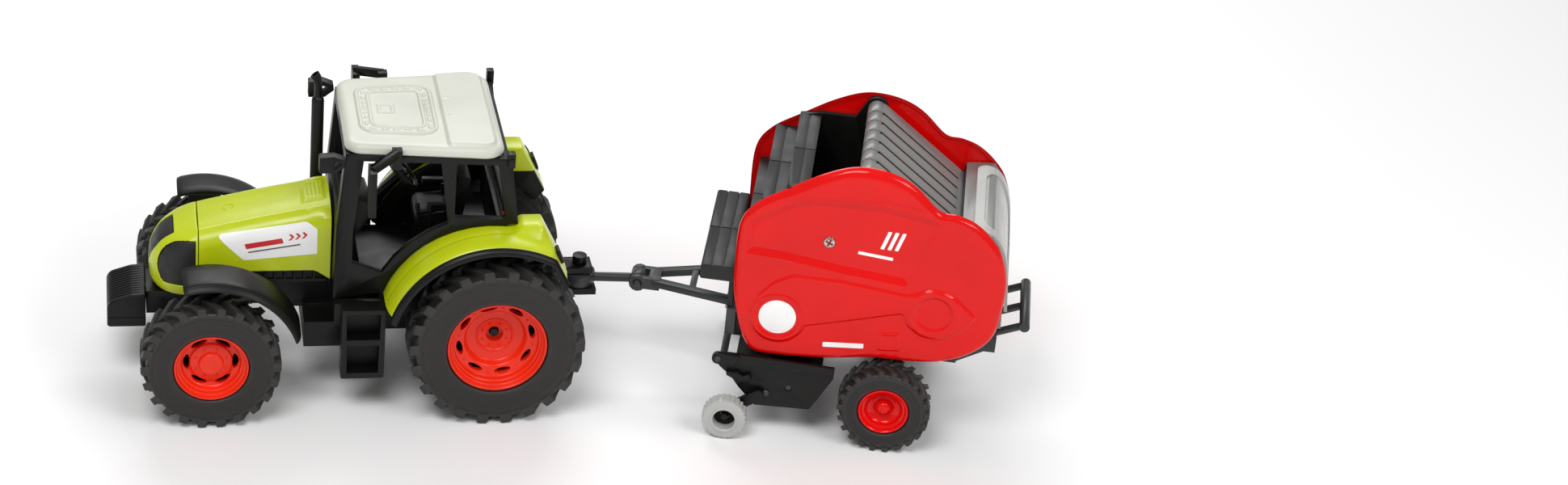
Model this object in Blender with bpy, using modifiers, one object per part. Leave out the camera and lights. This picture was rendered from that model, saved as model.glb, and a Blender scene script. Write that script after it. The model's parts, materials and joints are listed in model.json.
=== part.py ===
"""Toy farm tractor, about 1:19, hitched to a round baler.

The tractor stands along X with its nose towards -X, and its left side is -Y. The baler hangs on the
hitch pin and trails at an angle. Lengths are written in millimetres and turned into metres by MM.
The model stands on z = 0, centred on its bounding box.
"""
import math

import bmesh
import bpy
from mathutils import Matrix, Vector

MM = 0.001
GAP = 0.3                      # clearance between neighbouring pieces
LEFT, RIGHT = -1, 1            # sign of Y on either side

# Tractor: x = 0 is the front axle before the model is centred
WHEELBASE = 134.0
FRONT_RADIUS, FRONT_RIM = 32.7, 17.5
FRONT_TYRE_IN, FRONT_TYRE_OUT = 38.6, 58.6
REAR_RADIUS, REAR_RIM = 42.2, 24.1
REAR_TYRE_IN, REAR_TYRE_OUT = 37.9, 61.4
TYRE_STEPS, RIM_STEPS = 32, 24  # sides of the turned wheel parts
AXLE_R = 2.2
BORE_PLAY = 0.3                # radial play of a wheel or lever on its shaft
NOSE_SEAM = -5.0               # joint between nose cowl and hood
HOOD_END = 57.0
CAB_FRONT, CAB_REAR = 58.2, 141.0
CAB_TOP = 134.0
CAB_HALF_FRONT, CAB_TAPER = 35.0, 0.082
FLOOR_TOP = 60.0
SEAT_DECK = 78.0
FENDER_R, FENDER_UNDER = 55.7, 52.5
FENDER_IN, FENDER_CREASE, FENDER_OUT = 33.0, 47.0, 57.3
FRONT_FENDER_R = 44.4
STEER_CENTRE = (92.0, 0.0, 106.0)
STEER_RADIUS = 9.6
EXHAUST_X, EXHAUST_Y = 52.8, 25.2
PIVOT_R = 1.5                  # rocking pin of the front axle, and the small baler pivots
LAMP_IN, LAMP_OUT = 36.6, 42.0

# Baler: its own frame starts at the hitch pin and runs rearwards along +X
HITCH_X = 181.07
HITCH_YAW = math.radians(-16.35)
PIN_R = 2.5
KNUCKLE = (30.0, 50.0)         # x, z of the drawbar knuckle
PANEL_IN, PANEL_OUT = 41.2, 45.0
CHAMBER_HALF, WALL = 40.6, 3.0
GATE_HINGE = (136.7, 140.4)
GATE_HALF = 37.2
BALER_AXLE = (158.0, 22.6)
BALER_RADIUS, BALER_RIM = 22.6, 12.4
BALER_TYRE_IN, BALER_TYRE_OUT = 37.7, 53.0
GAUGE_PIVOT = (96.9, 21.7)
GAUGE_HUB = (82.0, 11.1)
GAUGE_RADIUS = 11.0
REEL = (111.0, 26.5)
REEL_RADIUS = 8.0

COLOURS = {                    # sRGB, roughness, metallic
    "lime": ((190, 204, 32), 0.35, 0.0),
    "black": ((34, 34, 33), 0.45, 0.0),
    "tyre": ((24, 24, 24), 0.7, 0.0),
    "orange": ((244, 78, 28), 0.35, 0.0),
    "red": ((228, 30, 28), 0.2, 0.0),
    "white": ((228, 229, 218), 0.4, 0.0),
    "grey": ((104, 105, 108), 0.4, 0.0),
    "light_grey": ((160, 163, 164), 0.4, 0.0),
    "steel": ((190, 190, 190), 0.3, 1.0),
}


# ---------------------------------------------------------------- scene and materials

def clear_scene():
    for obj in list(bpy.data.objects):
        bpy.data.objects.remove(obj, do_unlink=True)


def linear(channel):
    value = channel / 255.0
    return value / 12.92 if value <= 0.04045 else ((value + 0.055) / 1.055) ** 2.4


def material(name, colour):
    rgb, roughness, metallic = COLOURS[colour]
    mat = bpy.data.materials.new(name)
    mat.use_nodes = True
    shader = mat.node_tree.nodes["Principled BSDF"]
    shader.inputs["Base Color"].default_value = [linear(c) for c in rgb] + [1.0]
    shader.inputs["Roughness"].default_value = roughness
    shader.inputs["Metallic"].default_value = metallic
    return mat


def empty(name, at=(0, 0, 0), parent=None, yaw=0.0):
    """A joint or frame marker; 'at' is in the frame of the tractor or of the baler."""
    obj = bpy.data.objects.new(name, None)
    PARTS.objects.link(obj)
    obj["at"] = list(at)
    obj.parent = parent
    base = Vector(parent["at"]) if parent else Vector()
    obj.location = (Vector(at) - base) * MM
    obj.rotation_euler.z = yaw
    return obj


def place(obj, name, colour, parent, origin=None):
    """Name a finished solid and hang it on its parent, with its origin on the parent's joint."""
    base = Vector(parent["at"])
    at = Vector(origin) if origin else base
    obj.data.transform(Matrix.Translation(-at * MM))
    obj.name = name
    obj.data.name = name
    obj.data.materials.clear()
    obj.data.materials.append(material(name, colour))
    obj.data.shade_smooth()
    obj.data.set_sharp_from_angle(angle=math.radians(32))
    obj.parent = parent
    obj.location = (at - base) * MM
    return obj


# ---------------------------------------------------------------- solids, measured in millimetres

def solid_from(mesh):
    obj = bpy.data.objects.new("solid", mesh)
    PARTS.objects.link(obj)
    return obj


def from_bmesh(bm):
    bmesh.ops.recalc_face_normals(bm, faces=bm.faces)
    if bm.calc_volume(signed=True) < 0:
        bmesh.ops.reverse_faces(bm, faces=bm.faces)
    mesh = bpy.data.meshes.new("solid")
    bm.to_mesh(mesh)
    bm.free()
    return solid_from(mesh)


def box(low, high):
    low = Vector(low)
    high = Vector(high)
    bm = bmesh.new()
    bmesh.ops.create_cube(bm, size=1.0)
    bmesh.ops.scale(bm, vec=(high - low) * MM, verts=bm.verts)
    bmesh.ops.translate(bm, vec=(high + low) * 0.5 * MM, verts=bm.verts)
    return from_bmesh(bm)


def side_box(side, x, y, z):
    """A box given by its x range, its distances from the symmetry plane and its z range."""
    ys = sorted(side * v for v in y)
    return box((x[0], ys[0], z[0]), (x[1], ys[1], z[1]))


def rod(start, end, radius, segments=12, end_radius=None):
    start = Vector(start)
    end = Vector(end)
    along = end - start
    bm = bmesh.new()
    bmesh.ops.create_cone(bm, cap_ends=True, segments=segments, radius1=radius * MM,
                          radius2=(end_radius or radius) * MM, depth=along.length * MM)
    turn = along.to_track_quat("Z", "Y").to_matrix().to_4x4()
    bm.transform(Matrix.Translation((start + end) * 0.5 * MM) @ turn)
    return from_bmesh(bm)


def cross_rod(x, z, y0, y1, radius, segments=12):
    return rod((x, y0, z), (x, y1, z), radius, segments)


def bar(start, end, width, height):
    """A straight bar of rectangular section between two points; width is measured along Y."""
    start = Vector(start)
    end = Vector(end)
    along = end - start
    bm = bmesh.new()
    bmesh.ops.create_cube(bm, size=1.0)
    bmesh.ops.scale(bm, vec=(height * MM, width * MM, along.length * MM), verts=bm.verts)
    turn = along.to_track_quat("Z", "Y").to_matrix().to_4x4()
    bm.transform(Matrix.Translation((start + end) * 0.5 * MM) @ turn)
    return from_bmesh(bm)


TURN = {"X": Matrix(((0, 0, 1, 0), (1, 0, 0, 0), (0, 1, 0, 0), (0, 0, 0, 1))),
        "Y": Matrix.Rotation(math.radians(90), 4, "X"),
        "Z": Matrix.Identity(4)}


def cut_sheet(outline, axis, low, high, holes=()):
    """A flat outline with holes, extruded along an axis: (y, z), (x, z) or (x, y) pairs."""
    curve = bpy.data.curves.new("outline", "CURVE")
    curve.dimensions = "2D"
    curve.fill_mode = "BOTH"
    curve.extrude = abs(high - low) * 0.5 * MM
    for loop in [outline, *holes]:
        spline = curve.splines.new("POLY")
        spline.points.add(len(loop) - 1)
        for point, (a, b) in zip(spline.points, loop):
            point.co = (a * MM, b * MM, 0.0, 1.0)
        spline.use_cyclic_u = True
    holder = solid_from(curve)
    mesh = bpy.data.meshes.new_from_object(holder.evaluated_get(bpy.context.evaluated_depsgraph_get()))
    bpy.data.objects.remove(holder, do_unlink=True)
    bm = bmesh.new()
    bm.from_mesh(mesh)
    bpy.data.meshes.remove(mesh)
    bmesh.ops.remove_doubles(bm, verts=bm.verts, dist=1e-6)
    middle = (high + low) * 0.5 * MM
    shift = {"X": (middle, 0, 0), "Y": (0, middle, 0), "Z": (0, 0, middle)}[axis]
    bm.transform(Matrix.Translation(shift) @ TURN[axis])
    return from_bmesh(bm)


def side_sheet(side, outline, y0, y1, holes=()):
    return cut_sheet(outline, "Y", side * y0, side * y1, holes)


def arc(centre, radius, start, end, steps):
    """Points along an arc; angles in degrees from +X towards +Z."""
    points = []
    for i in range(steps + 1):
        angle = math.radians(start + (end - start) * i / steps)
        points.append((centre[0] + radius * math.cos(angle), centre[1] + radius * math.sin(angle)))
    return points


def circle(centre, radius, steps=16):
    return arc(centre, radius, 0, 360 - 360 / steps, steps - 1)


def rounded(corners, steps=3):
    """A closed outline from (a, b, radius) corners, each rounded with an arc."""
    points = []
    count = len(corners)
    for i, (a, b, radius) in enumerate(corners):
        here = Vector((a, b))
        to_last = (Vector(corners[i - 1][:2]) - here).normalized()
        to_next = (Vector(corners[(i + 1) % count][:2]) - here).normalized()
        if radius == 0:
            points.append((a, b))
            continue
        half = to_last.angle(to_next) / 2
        reach = radius / math.tan(half)
        centre = here + (to_last + to_next).normalized() * (radius / math.sin(half))
        first = here + to_last * reach - centre
        sweep = math.pi - 2 * half
        turn = math.copysign(1, to_last.x * to_next.y - to_last.y * to_next.x)
        for k in range(steps + 1):
            angle = -turn * sweep * k / steps
            points.append(tuple(centre + Matrix.Rotation(angle, 2) @ first))
    return points


def smooth_outline(points, steps=3):
    """A closed Catmull-Rom curve through the points."""
    out = []
    count = len(points)
    for i in range(count):
        p0, p1, p2, p3 = (Vector(points[(i + k - 1) % count]) for k in range(4))
        for k in range(steps):
            t = k / steps
            out.append(tuple(0.5 * (2 * p1 + (p2 - p0) * t + (2 * p0 - 5 * p1 + 4 * p2 - p3) * t * t
                                    + (3 * p1 - p0 - 3 * p2 + p3) * t ** 3)))
    return out


def arch_loft(side, centre, sections):
    """Sweep a cross-section round a wheel: each section is (angle, [(distance from middle, radius)])."""
    bm = bmesh.new()
    rings = []
    for angle, section in sections:
        cos = math.cos(math.radians(angle)) * MM
        sin = math.sin(math.radians(angle)) * MM
        x, z = centre[0] * MM, centre[1] * MM
        rings.append([bm.verts.new((x + r * cos, side * y * MM, z + r * sin)) for y, r in section])
    for near, far in zip(rings, rings[1:]):
        for i in range(len(near)):
            k = (i + 1) % len(near)
            bm.faces.new((near[i], near[k], far[k], far[i]))
    bm.faces.new(rings[0])
    bm.faces.new(rings[-1])
    return from_bmesh(bm)


def turned(profile, side, centre, segments):
    """A wheel part turned about Y: (radius, distance from the symmetry plane) pairs, outside to inside."""
    mesh = bpy.data.meshes.new("profile")
    count = len(profile)
    closed = profile[0][0] > 0
    edges = [(i, (i + 1) % count) for i in range(count if closed else count - 1)]
    mesh.from_pydata([(r * MM, 0, h * MM) for r, h in profile], edges, [])
    obj = solid_from(mesh)
    screw = obj.modifiers.new("Turn", "SCREW")
    screw.steps = segments
    screw.render_steps = segments
    screw.use_merge_vertices = True
    screw.merge_threshold = 0.00001
    made = bpy.data.meshes.new_from_object(obj.evaluated_get(bpy.context.evaluated_depsgraph_get()))
    bpy.data.objects.remove(obj, do_unlink=True)
    turn = Matrix.Rotation(math.radians(-90 * side), 4, "X")
    made.transform(Matrix.Translation((centre[0] * MM, 0, centre[1] * MM)) @ turn)
    bm = bmesh.new()
    bm.from_mesh(made)
    bpy.data.meshes.remove(made)
    return from_bmesh(bm)


def boolean(obj, tool, operation):
    modifier = obj.modifiers.new(operation, "BOOLEAN")
    modifier.operation = operation
    modifier.solver = "EXACT"
    modifier.object = tool


def combine(base, add=(), cut=(), common=()):
    """Join, cut and intersect solids into one; the tools are used up."""
    for tools, operation in ((add, "UNION"), (cut, "DIFFERENCE"), (common, "INTERSECT")):
        for tool in tools:
            boolean(base, tool, operation)
    mesh = bpy.data.meshes.new_from_object(base.evaluated_get(bpy.context.evaluated_depsgraph_get()))
    for used in (base, *add, *cut, *common):
        bpy.data.objects.remove(used, do_unlink=True)
    return solid_from(mesh)


def sheared(obj, matrix):
    obj.data.transform(matrix)
    return obj


# ---------------------------------------------------------------- tractor: chassis and body

def chassis(root):
    base = box((-4, -12, 41), (60, 12, 56))
    add = [
        box((-10.5, -11.5, 42), (-3, 11.5, 49.5)),
        box((-29, -11, 36), (-7, 11, 48)),
        box((-10.5, -8, 26), (-7, 8, 42)),
        box((7, -8, 26), (10.5, 8, 42)),
        box((-3, -16, 55), (56, 16, 72)),
        box((44.6, -30, 27), (62.8, 30, 40.5)),
        box((40, -12, 39), (62, 12, 45)),
        box((59, -20, 30), (160, 20, 55.9)),
        box((58, -39.6, 44), (80, 39.6, 55.9)),
        box((47, 10, 45), (60, 29, 55.9)),
        box((158, -10, 33), (166, 10, 59)),
        box((164, -8, 40.2), (189, 8, 43.4)),
        box((164, -6, 51), (187, 6, 54)),
        cross_rod(WHEELBASE, REAR_RADIUS, -32, 32, 8, 20),
    ]
    cut = [
        cross_rod(WHEELBASE, REAR_RADIUS, -40, 40, AXLE_R + BORE_PLAY),
        rod((-12, 0, FRONT_RADIUS), (12, 0, FRONT_RADIUS), PIVOT_R + BORE_PLAY),
        rod((HITCH_X, 0, 30), (HITCH_X, 0, 60), PIN_R + BORE_PLAY),
    ]
    place(combine(base, add, cut), "chassis", "black", root)
    pin = rod((-10.4, 0, FRONT_RADIUS), (10.4, 0, FRONT_RADIUS), PIVOT_R)
    place(pin, "axle_pivot_pin", "steel", root)


def front_weight(root):
    outline = rounded([(-47.4, 31, 1.5), (-29.3, 31, 0.8), (-29.3, 48.6, 0.8), (-36, 48.2, 6),
                       (-47.4, 44.4, 5)])
    place(cut_sheet(outline, "Y", -15.5, 15.5), "front_weight", "black", root)


def hood_section(x):
    """Half cross-section of the hood: (y, z) from the top centre down to the lower edge."""
    crease_z = 84.2 + 0.247 * x - 0.0007 * x * x
    flare = max(0.0, (x - 48) / 9) ** 2 * 1.2
    lower = 63.5 - max(0.0, x - 50) * 0.65
    return [(0, crease_z + 1.0), (7, crease_z + 0.8), (13.8, crease_z), (16.5, crease_z - 1.2),
            (19.6 + flare, crease_z - 4), (20.6 + flare, crease_z - 9), (20.6 + flare * 0.5, lower)]


def hood(root):
    stations = [NOSE_SEAM + GAP, 8, 20, 32, 44, 50, 54, HOOD_END]
    rows = []
    for x in stations:
        half = hood_section(x)
        rows.append([(x, -y, z) for y, z in reversed(half)] + [(x, y, z) for y, z in half[1:]])
    bm = bmesh.new()
    grid = [[bm.verts.new(Vector(p) * MM) for p in row] for row in rows]
    for near, far in zip(grid, grid[1:]):
        for i in range(len(near) - 1):
            bm.faces.new((near[i], near[i + 1], far[i + 1], far[i]))
    obj = from_bmesh(bm)
    if obj.data.polygons[3].normal.z < 0:
        obj.data.flip_normals()
    shell = obj.modifiers.new("Shell", "SOLIDIFY")
    shell.thickness = 1.6 * MM
    shell.offset = -1
    shell.use_even_offset = True
    place(combine(obj), "hood", "lime", root)


def nose_solid():
    """The nose as rounded plan outlines stacked upwards: (z, front x, half width at the seam)."""
    levels = [(50, -25.8, 19.4), (55, -27.4, 20.2), (62, -27.9, 20.6), (68, -27.2, 20.6),
              (73.5, -24.6, 20.4), (76.7, -21.4, 19.8), (79.2, -17.4, 18.8), (81.4, -11.5, 16.6),
              (83.0, NOSE_SEAM - 1.2, 14)]
    power = 2 / 2.3
    columns = 18
    bm = bmesh.new()
    rings = []
    for z, front, half in levels:
        ring = []
        for i in range(columns + 1):
            angle = math.pi * i / columns - math.pi / 2
            x = NOSE_SEAM + (front - NOSE_SEAM) * math.cos(angle) ** power
            y = half * math.copysign(abs(math.sin(angle)) ** power, math.sin(angle))
            ring.append(bm.verts.new((x * MM, y * MM, z * MM)))
        rings.append(ring)
    for low, high in zip(rings, rings[1:]):
        for i in range(columns):
            bm.faces.new((low[i], low[i + 1], high[i + 1], high[i]))
    bm.faces.new(rings[0])
    bm.faces.new(rings[-1])
    bm.faces.new([ring[0] for ring in rings] + [ring[-1] for ring in reversed(rings)])
    return from_bmesh(bm)


def grille_plug(play):
    """Solid that cuts out the centre grille, seen from the front: wide at the top, pointed below."""
    p = play
    outline = [(0, 61 - p), (3.6 + p, 64 - p), (8.4 + p, 73), (9.6 + p, 86), (-9.6 - p, 86), (-8.4 - p, 73),
               (-3.6 - p, 64 - p)]
    return cut_sheet(outline, "X", -30, -16.5 + p)


def side_plug(side, play):
    """Solid that cuts out a side grille, seen from the side."""
    p = play
    outline = rounded([(-6.6 + p, 55.8 - p, 1), (-21.4 - p, 56.4 - p, 2.5), (-24 - p, 66, 6),
                       (-17.5, 77.2 + p, 5), (-6.6 + p, 78.6 + p, 0.8)])
    return side_sheet(side, outline, 10.6 - p, 24)


def nose(root):
    cuts = [grille_plug(GAP), side_plug(LEFT, GAP), side_plug(RIGHT, GAP)]
    place(combine(nose_solid(), cut=cuts), "nose_cowl", "lime", root)
    place(combine(nose_solid(), common=[grille_plug(0)]), "grille_front", "black", root)
    for side, name in ((LEFT, "grille_left"), (RIGHT, "grille_right")):
        place(combine(nose_solid(), common=[side_plug(side, 0)]), name, "black", root)


def exhaust(root):
    x, y = EXHAUST_X, EXHAUST_Y
    base = rod((x, y, 56.3), (x, y, 62), 3.6)
    add = [rod((x, y, 61), (x, y, 133.4), 3.0),
           rod((x, y, 132.4), (x + 0.3, y, 141), 1.9),
           rod((x + 0.4, y, 139.6), (x - 2, y, 146.4), 2.1)]
    place(combine(base, add), "exhaust_pipe", "black", root)


# ---------------------------------------------------------------- tractor: cab

def cab_side(side):
    arch = arc((WHEELBASE, REAR_RADIUS), FENDER_R + 0.6, 161.5, 86, 9)
    outline = [(61.6, CAB_TOP), (CAB_FRONT, 93), (57.6, 56.4)] + arch
    outline += [(138.6, 99.4), (143, 99.6), (138.5, CAB_TOP)]
    door_foot = arc((WHEELBASE, REAR_RADIUS), FENDER_R + 5.5, 152, 113, 4)
    door = [(70, 130.5), (66, 93), (66, 76)] + door_foot + [(106, 130.5)]
    window = rounded([(113, 102, 1.5), (137, 102, 1.5), (132.5, 130.5, 1.5), (113, 130.5, 1.5)])
    plate = side_sheet(side, outline, CAB_HALF_FRONT - 3.2, CAB_HALF_FRONT, [door, window])
    taper = Matrix.Identity(4)
    taper[1][0] = side * CAB_TAPER
    taper[1][3] = -side * CAB_TAPER * 62 * MM
    return sheared(plate, taper)


def lean(slope, foot):
    """Shear that moves x with height above the foot."""
    matrix = Matrix.Identity(4)
    matrix[0][2] = slope
    matrix[0][3] = -slope * foot * MM
    return matrix


def cab(root):
    front = rounded([(-34.6, 93, 0), (34.6, 93, 0), (34.6, CAB_TOP, 2), (-34.6, CAB_TOP, 2)])
    front_hole = rounded([(-28, 99, 3), (28, 99, 3), (28, 130, 3), (-28, 130, 3)])
    windscreen = cut_sheet(front, "X", CAB_FRONT, CAB_FRONT + 3, [front_hole])
    rear = [(-40, 99.4), (40, 99.4), (40, CAB_TOP), (-40, CAB_TOP)]
    rear_hole = rounded([(-34, 103, 2), (34, 103, 2), (34, 130, 2), (-34, 130, 2)])
    rear_window = cut_sheet(rear, "X", CAB_REAR - 3, CAB_REAR, [rear_hole])
    bulkhead = box((CAB_FRONT, -34.2, 56.4), (CAB_FRONT + 3, 34.2, 94))
    pieces = [cab_side(RIGHT), sheared(windscreen, lean(3.4 / 41, 93)),
              sheared(rear_window, lean(-0.1, 98)), bulkhead]
    place(combine(cab_side(LEFT), pieces), "cab_frame", "black", root)

    floor = [(61.6, 56.4), (61.6, FLOOR_TOP), (98, FLOOR_TOP), (101, SEAT_DECK), (134, SEAT_DECK), (134, 98),
             (137.4, 98), (137.4, 56.4)]
    place(cut_sheet(floor, "Y", -30.6, 30.6), "cab_floor", "black", root)

    foot = FLOOR_TOP + GAP
    dash = rounded([(61.8, foot, 0), (72, foot, 0), (69, 78, 2), (77, 90, 2), (75, 96, 2), (61.8, 99, 0)])
    column = rod((73, 0, 87), (90.6, 0, 104.6), 1.5)
    place(combine(cut_sheet(dash, "Y", -13, 13), [column]), "dashboard", "black", root)

    base = SEAT_DECK + GAP
    seat_outline = rounded([(98, base, 0), (119, base, 0), (120.5, 88, 2), (124, 108, 2), (118, 109, 2),
                            (114.5, 90, 2), (98, 87.5, 3)])
    arms = [side_box(s, (103, 116), (11.5, 14.5), (92, 95.5)) for s in (LEFT, RIGHT)]
    posts = [side_box(s, (112, 115.5), (9, 14), (86, 94)) for s in (LEFT, RIGHT)]
    place(combine(cut_sheet(seat_outline, "Y", -11, 11), arms + posts), "seat", "black", root)


def steering_wheel(root):
    axis = Vector((1, 0, 1)).normalized()
    bpy.ops.mesh.primitive_torus_add(major_radius=STEER_RADIUS * MM, minor_radius=1.1 * MM,
                                     major_segments=20, minor_segments=6)
    ring = solid_from(bpy.context.object.data)
    bpy.data.objects.remove(bpy.context.object, do_unlink=True)
    spokes = []
    for degrees in (94, 214, 334):
        cos = math.cos(math.radians(degrees))
        sin = math.sin(math.radians(degrees))
        spokes.append(rod((cos, sin, -0.5), (STEER_RADIUS * cos, STEER_RADIUS * sin, 0), 0.75, 6))
    wheel = combine(ring, spokes + [rod((0, 0, -1.6), (0, 0, 1.2), 2.4, 16)])
    turn = axis.to_track_quat("Z", "Y").to_matrix().to_4x4()
    wheel.data.transform(Matrix.Translation(Vector(STEER_CENTRE) * MM) @ turn)
    pivot = empty("steering_pivot", STEER_CENTRE, root)
    place(wheel, "steering_wheel", "black", pivot)


def roof(root):
    plan = rounded([(61.5, -35.2, 7), (135.4, -42.6, 9), (135.4, 42.6, 9), (61.5, 35.2, 7)], 4)
    raised = rounded([(108, -37, 3), (131, -38.5, 5), (131, 38.5, 5), (108, 37, 3)])
    hatch = rounded([(70, -21, 6), (104, -25, 6), (104, 25, 6), (70, 21, 6)])
    crown = [cut_sheet(raised, "Z", 138, 141), cut_sheet(hatch, "Z", 138, 140.4)]
    place(combine(cut_sheet(plan, "Z", CAB_TOP + GAP, 139.4), crown), "roof", "white", root)


def cab_fittings(root):
    for side, word in ((LEFT, "left"), (RIGHT, "right")):
        lamp = [(49, 127.5), (49, 135.5), (56, 136), (61, 134), (61.3, 131), (57, 127.5)]
        window = [(55.6, 129.3), (55.6, 133.4), (59.6, 132.4)]
        place(side_sheet(side, lamp, LAMP_IN, LAMP_OUT, [window]), "front_lamp_" + word, "black", root)
        rear = side_box(side, (136, 139.4), (41.9, 46), (131.5, 138.8))
        bulb = cross_rod(137.8, 135.4, side * 45, side * 47.4, 1.3)
        place(combine(rear, [bulb]), "rear_lamp_" + word, "black", root)
        foot = side_box(side, (82.4, 87), (38.5, 43), (129.6, 139.4))
        arm = bar((85, side * 41.4, 137.8), (72.4, side * 52, 134.4), 4, 3)
        head = side_box(side, (71, 74.4), (46, 57), (112, 135))
        place(combine(head, [arm, foot]), "mirror_" + word, "black", root)
        outer = side_box(side, (60.7, 81.7), (40, 50), (20, 58))
        pockets = [side_box(side, (63.4, 79), (42, 51), (41, 55.5)),
                   side_box(side, (63.4, 79), (43, 51), (22.4, 38.8))]
        place(combine(outer, cut=pockets), "step_" + word, "black", root)


# ---------------------------------------------------------------- tractor: fenders, axles and wheels

def rear_fender(root, side, word):
    """Arched cover with an inner wall, and a flat lamp housing raised on its rear end."""
    centre = (WHEELBASE, REAR_RADIUS)
    tops = [(161.5 - 8.6 * i, FENDER_R) for i in range(9)]
    tops += [(84, FENDER_R), (82, 57.3), (70.2, 60.4), (62, 57.2), (50, 54.6)]
    sections = []
    for angle, top in tops:
        shoulder = min(top - 0.4, 55.6)
        sections.append((angle, [(FENDER_IN, 41), (FENDER_IN, top - 1), (FENDER_CREASE, top), (53, shoulder),
                                 (FENDER_OUT, 53.4), (FENDER_OUT, FENDER_UNDER),
                                 (FENDER_IN + 2, FENDER_UNDER), (FENDER_IN + 2, 41)]))
    place(arch_loft(side, centre, sections), "rear_fender_" + word, "lime", root)
    lip = [(FENDER_IN + 2.3, 52.2), (57.6, 52.2), (57.6, 53.6), (60.4, 51.6), (60.2, 49.8), (58, 50.4),
           (FENDER_IN + 2.3, 50.4)]
    steps = [(165 - 120 * i / 14, lip) for i in range(15)]
    place(arch_loft(side, centre, steps), "fender_lip_" + word, "black", root)


def front_fender(pivot, side, word):
    centre = (0, FRONT_RADIUS)
    top = FRONT_FENDER_R
    section = [(35.8, top - 1.8), (35.8, top - 0.3), (45, top), (54, top - 0.3), (57.6, top - 1.8),
               (57.4, top - 3.2), (55.2, top - 1.9), (45, top - 1.7)]
    band = arch_loft(side, centre, [(107.4 - 90 * i / 12, section) for i in range(13)])
    stem = rounded([(-5, 27.5, 2), (5, 27.5, 2), (8, 75.4, 0), (-8, 75.4, 0)])
    fender = combine(band, [side_sheet(side, stem, 35.4, 37.4)],
                     [cross_rod(0, FRONT_RADIUS, side * 30, side * 40, AXLE_R + BORE_PLAY)])
    place(fender, "front_fender_" + word, "black", pivot)


def openings(side, centre, radius, count, across, near, far):
    """Rods that pierce a wheel disc at equal steps around its axis."""
    tools = []
    for i in range(count):
        angle = 2 * math.pi * (i + 0.5) / count
        x = centre[0] + radius * math.cos(angle)
        z = centre[1] + radius * math.sin(angle)
        tools.append(cross_rod(x, z, side * near, side * far, across, 6))
    return tools


def road_wheel(parent, prefix, side, word, centre, radius, rim_radius, width_range, rim_profile, holes):
    """A tyre and its rim, hung on one hub; width_range runs from the inner to the outer sidewall."""
    hub = empty(prefix + "_wheel_" + word, (centre[0], 0, centre[1]), parent)
    inside, outside = width_range
    width = outside - inside
    shoulder = radius - 0.1 * radius
    bore = rim_radius + GAP
    bevel = width * 0.1
    tyre = [(bore, outside - 0.6), (bore + 2, outside), (shoulder, outside - 0.3), (radius, outside - bevel),
            (radius, inside + bevel), (shoulder, inside + 0.3), (bore, inside + 0.3)]
    place(turned(tyre, side, centre, TYRE_STEPS), prefix + "_tyre_" + word, "tyre", hub)
    rim = turned(rim_profile, side, centre, RIM_STEPS)
    if holes:
        rim = combine(rim, cut=openings(side, centre, *holes))
    colour = "red" if prefix == "baler" else "orange"
    place(rim, prefix + "_rim_" + word, colour, hub)


def running_gear(root):
    pivot = empty("front_axle_pivot", (0, 0, FRONT_RADIUS), root)
    beam = combine(box((-5.5, -34, 28.5), (5.5, 34, 37)),
                   [cross_rod(0, FRONT_RADIUS, -50.5, 50.5, AXLE_R), box((-6, -7, 27.5), (6, 7, 38.5))],
                   [rod((-12, 0, FRONT_RADIUS), (12, 0, FRONT_RADIUS), PIVOT_R + BORE_PLAY)])
    place(beam, "front_axle", "black", pivot)
    place(cross_rod(WHEELBASE, REAR_RADIUS, -46, 46, AXLE_R), "rear_axle", "steel", root)
    bore = AXLE_R + BORE_PLAY
    front_rim = [(0, 54.2), (4.8, 54.2), (5, 52), (12.6, 51), (14.4, 57.8), (17.5, 57.8), (17.5, 39.4),
                 (16, 39.4), (15, 48.4), (4.4, 48.4), (4.4, 41.5), (bore, 41.5), (bore, 51), (0, 51)]
    rear_rim = [(bore, 45.2), (6, 45.2), (7.4, 47.4), (13.4, 48.2), (14.6, 50.6), (20.6, 52), (22.4, 60.2),
                (24.1, 60.2), (24.1, 39), (22.6, 39), (20.2, 49.4), (6.2, 44.4), (5.2, 38.6), (bore, 38.6)]
    for side, word in ((LEFT, "left"), (RIGHT, "right")):
        front_fender(pivot, side, word)
        rear_fender(root, side, word)
        road_wheel(pivot, "front", side, word, (0, FRONT_RADIUS), FRONT_RADIUS, FRONT_RIM,
                   (FRONT_TYRE_IN, FRONT_TYRE_OUT), front_rim, None)
        road_wheel(root, "rear", side, word, (WHEELBASE, REAR_RADIUS), REAR_RADIUS, REAR_RIM,
                   (REAR_TYRE_IN, REAR_TYRE_OUT), rear_rim, (17.6, 8, 1.9, 44, 56))


# ---------------------------------------------------------------- baler

def hitch(root):
    pin = combine(rod((HITCH_X, 0, 37.5), (HITCH_X, 0, 55), PIN_R),
                  [rod((HITCH_X, 0, 54.3), (HITCH_X, 0, 58.5), 3.6)])
    place(pin, "hitch_pin", "black", root)
    frame = empty("hitch", (HITCH_X, 0, 0), root, HITCH_YAW)
    frame["at"] = [0, 0, 0]
    eye = combine(rod((0, 0, 44), (0, 0, 50), 8, 24),
                  [rod((6, 0, 47), (26, 0, 49.4), 2.3), cross_rod(*KNUCKLE, -3.2, 3.2, 4.2, 20)],
                  [rod((0, 0, 40), (0, 0, 55), PIN_R + BORE_PLAY + 0.2, 20),
                   cross_rod(*KNUCKLE, -9, 9, 2 + BORE_PLAY)])
    place(eye, "drawbar_eye", "grey", frame)
    knuckle = empty("drawbar_knuckle", (KNUCKLE[0], 0, KNUCKLE[1]), frame)
    place(cross_rod(*KNUCKLE, -8.2, 8.2, 2), "knuckle_pin", "grey", knuckle)
    return knuckle


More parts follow.
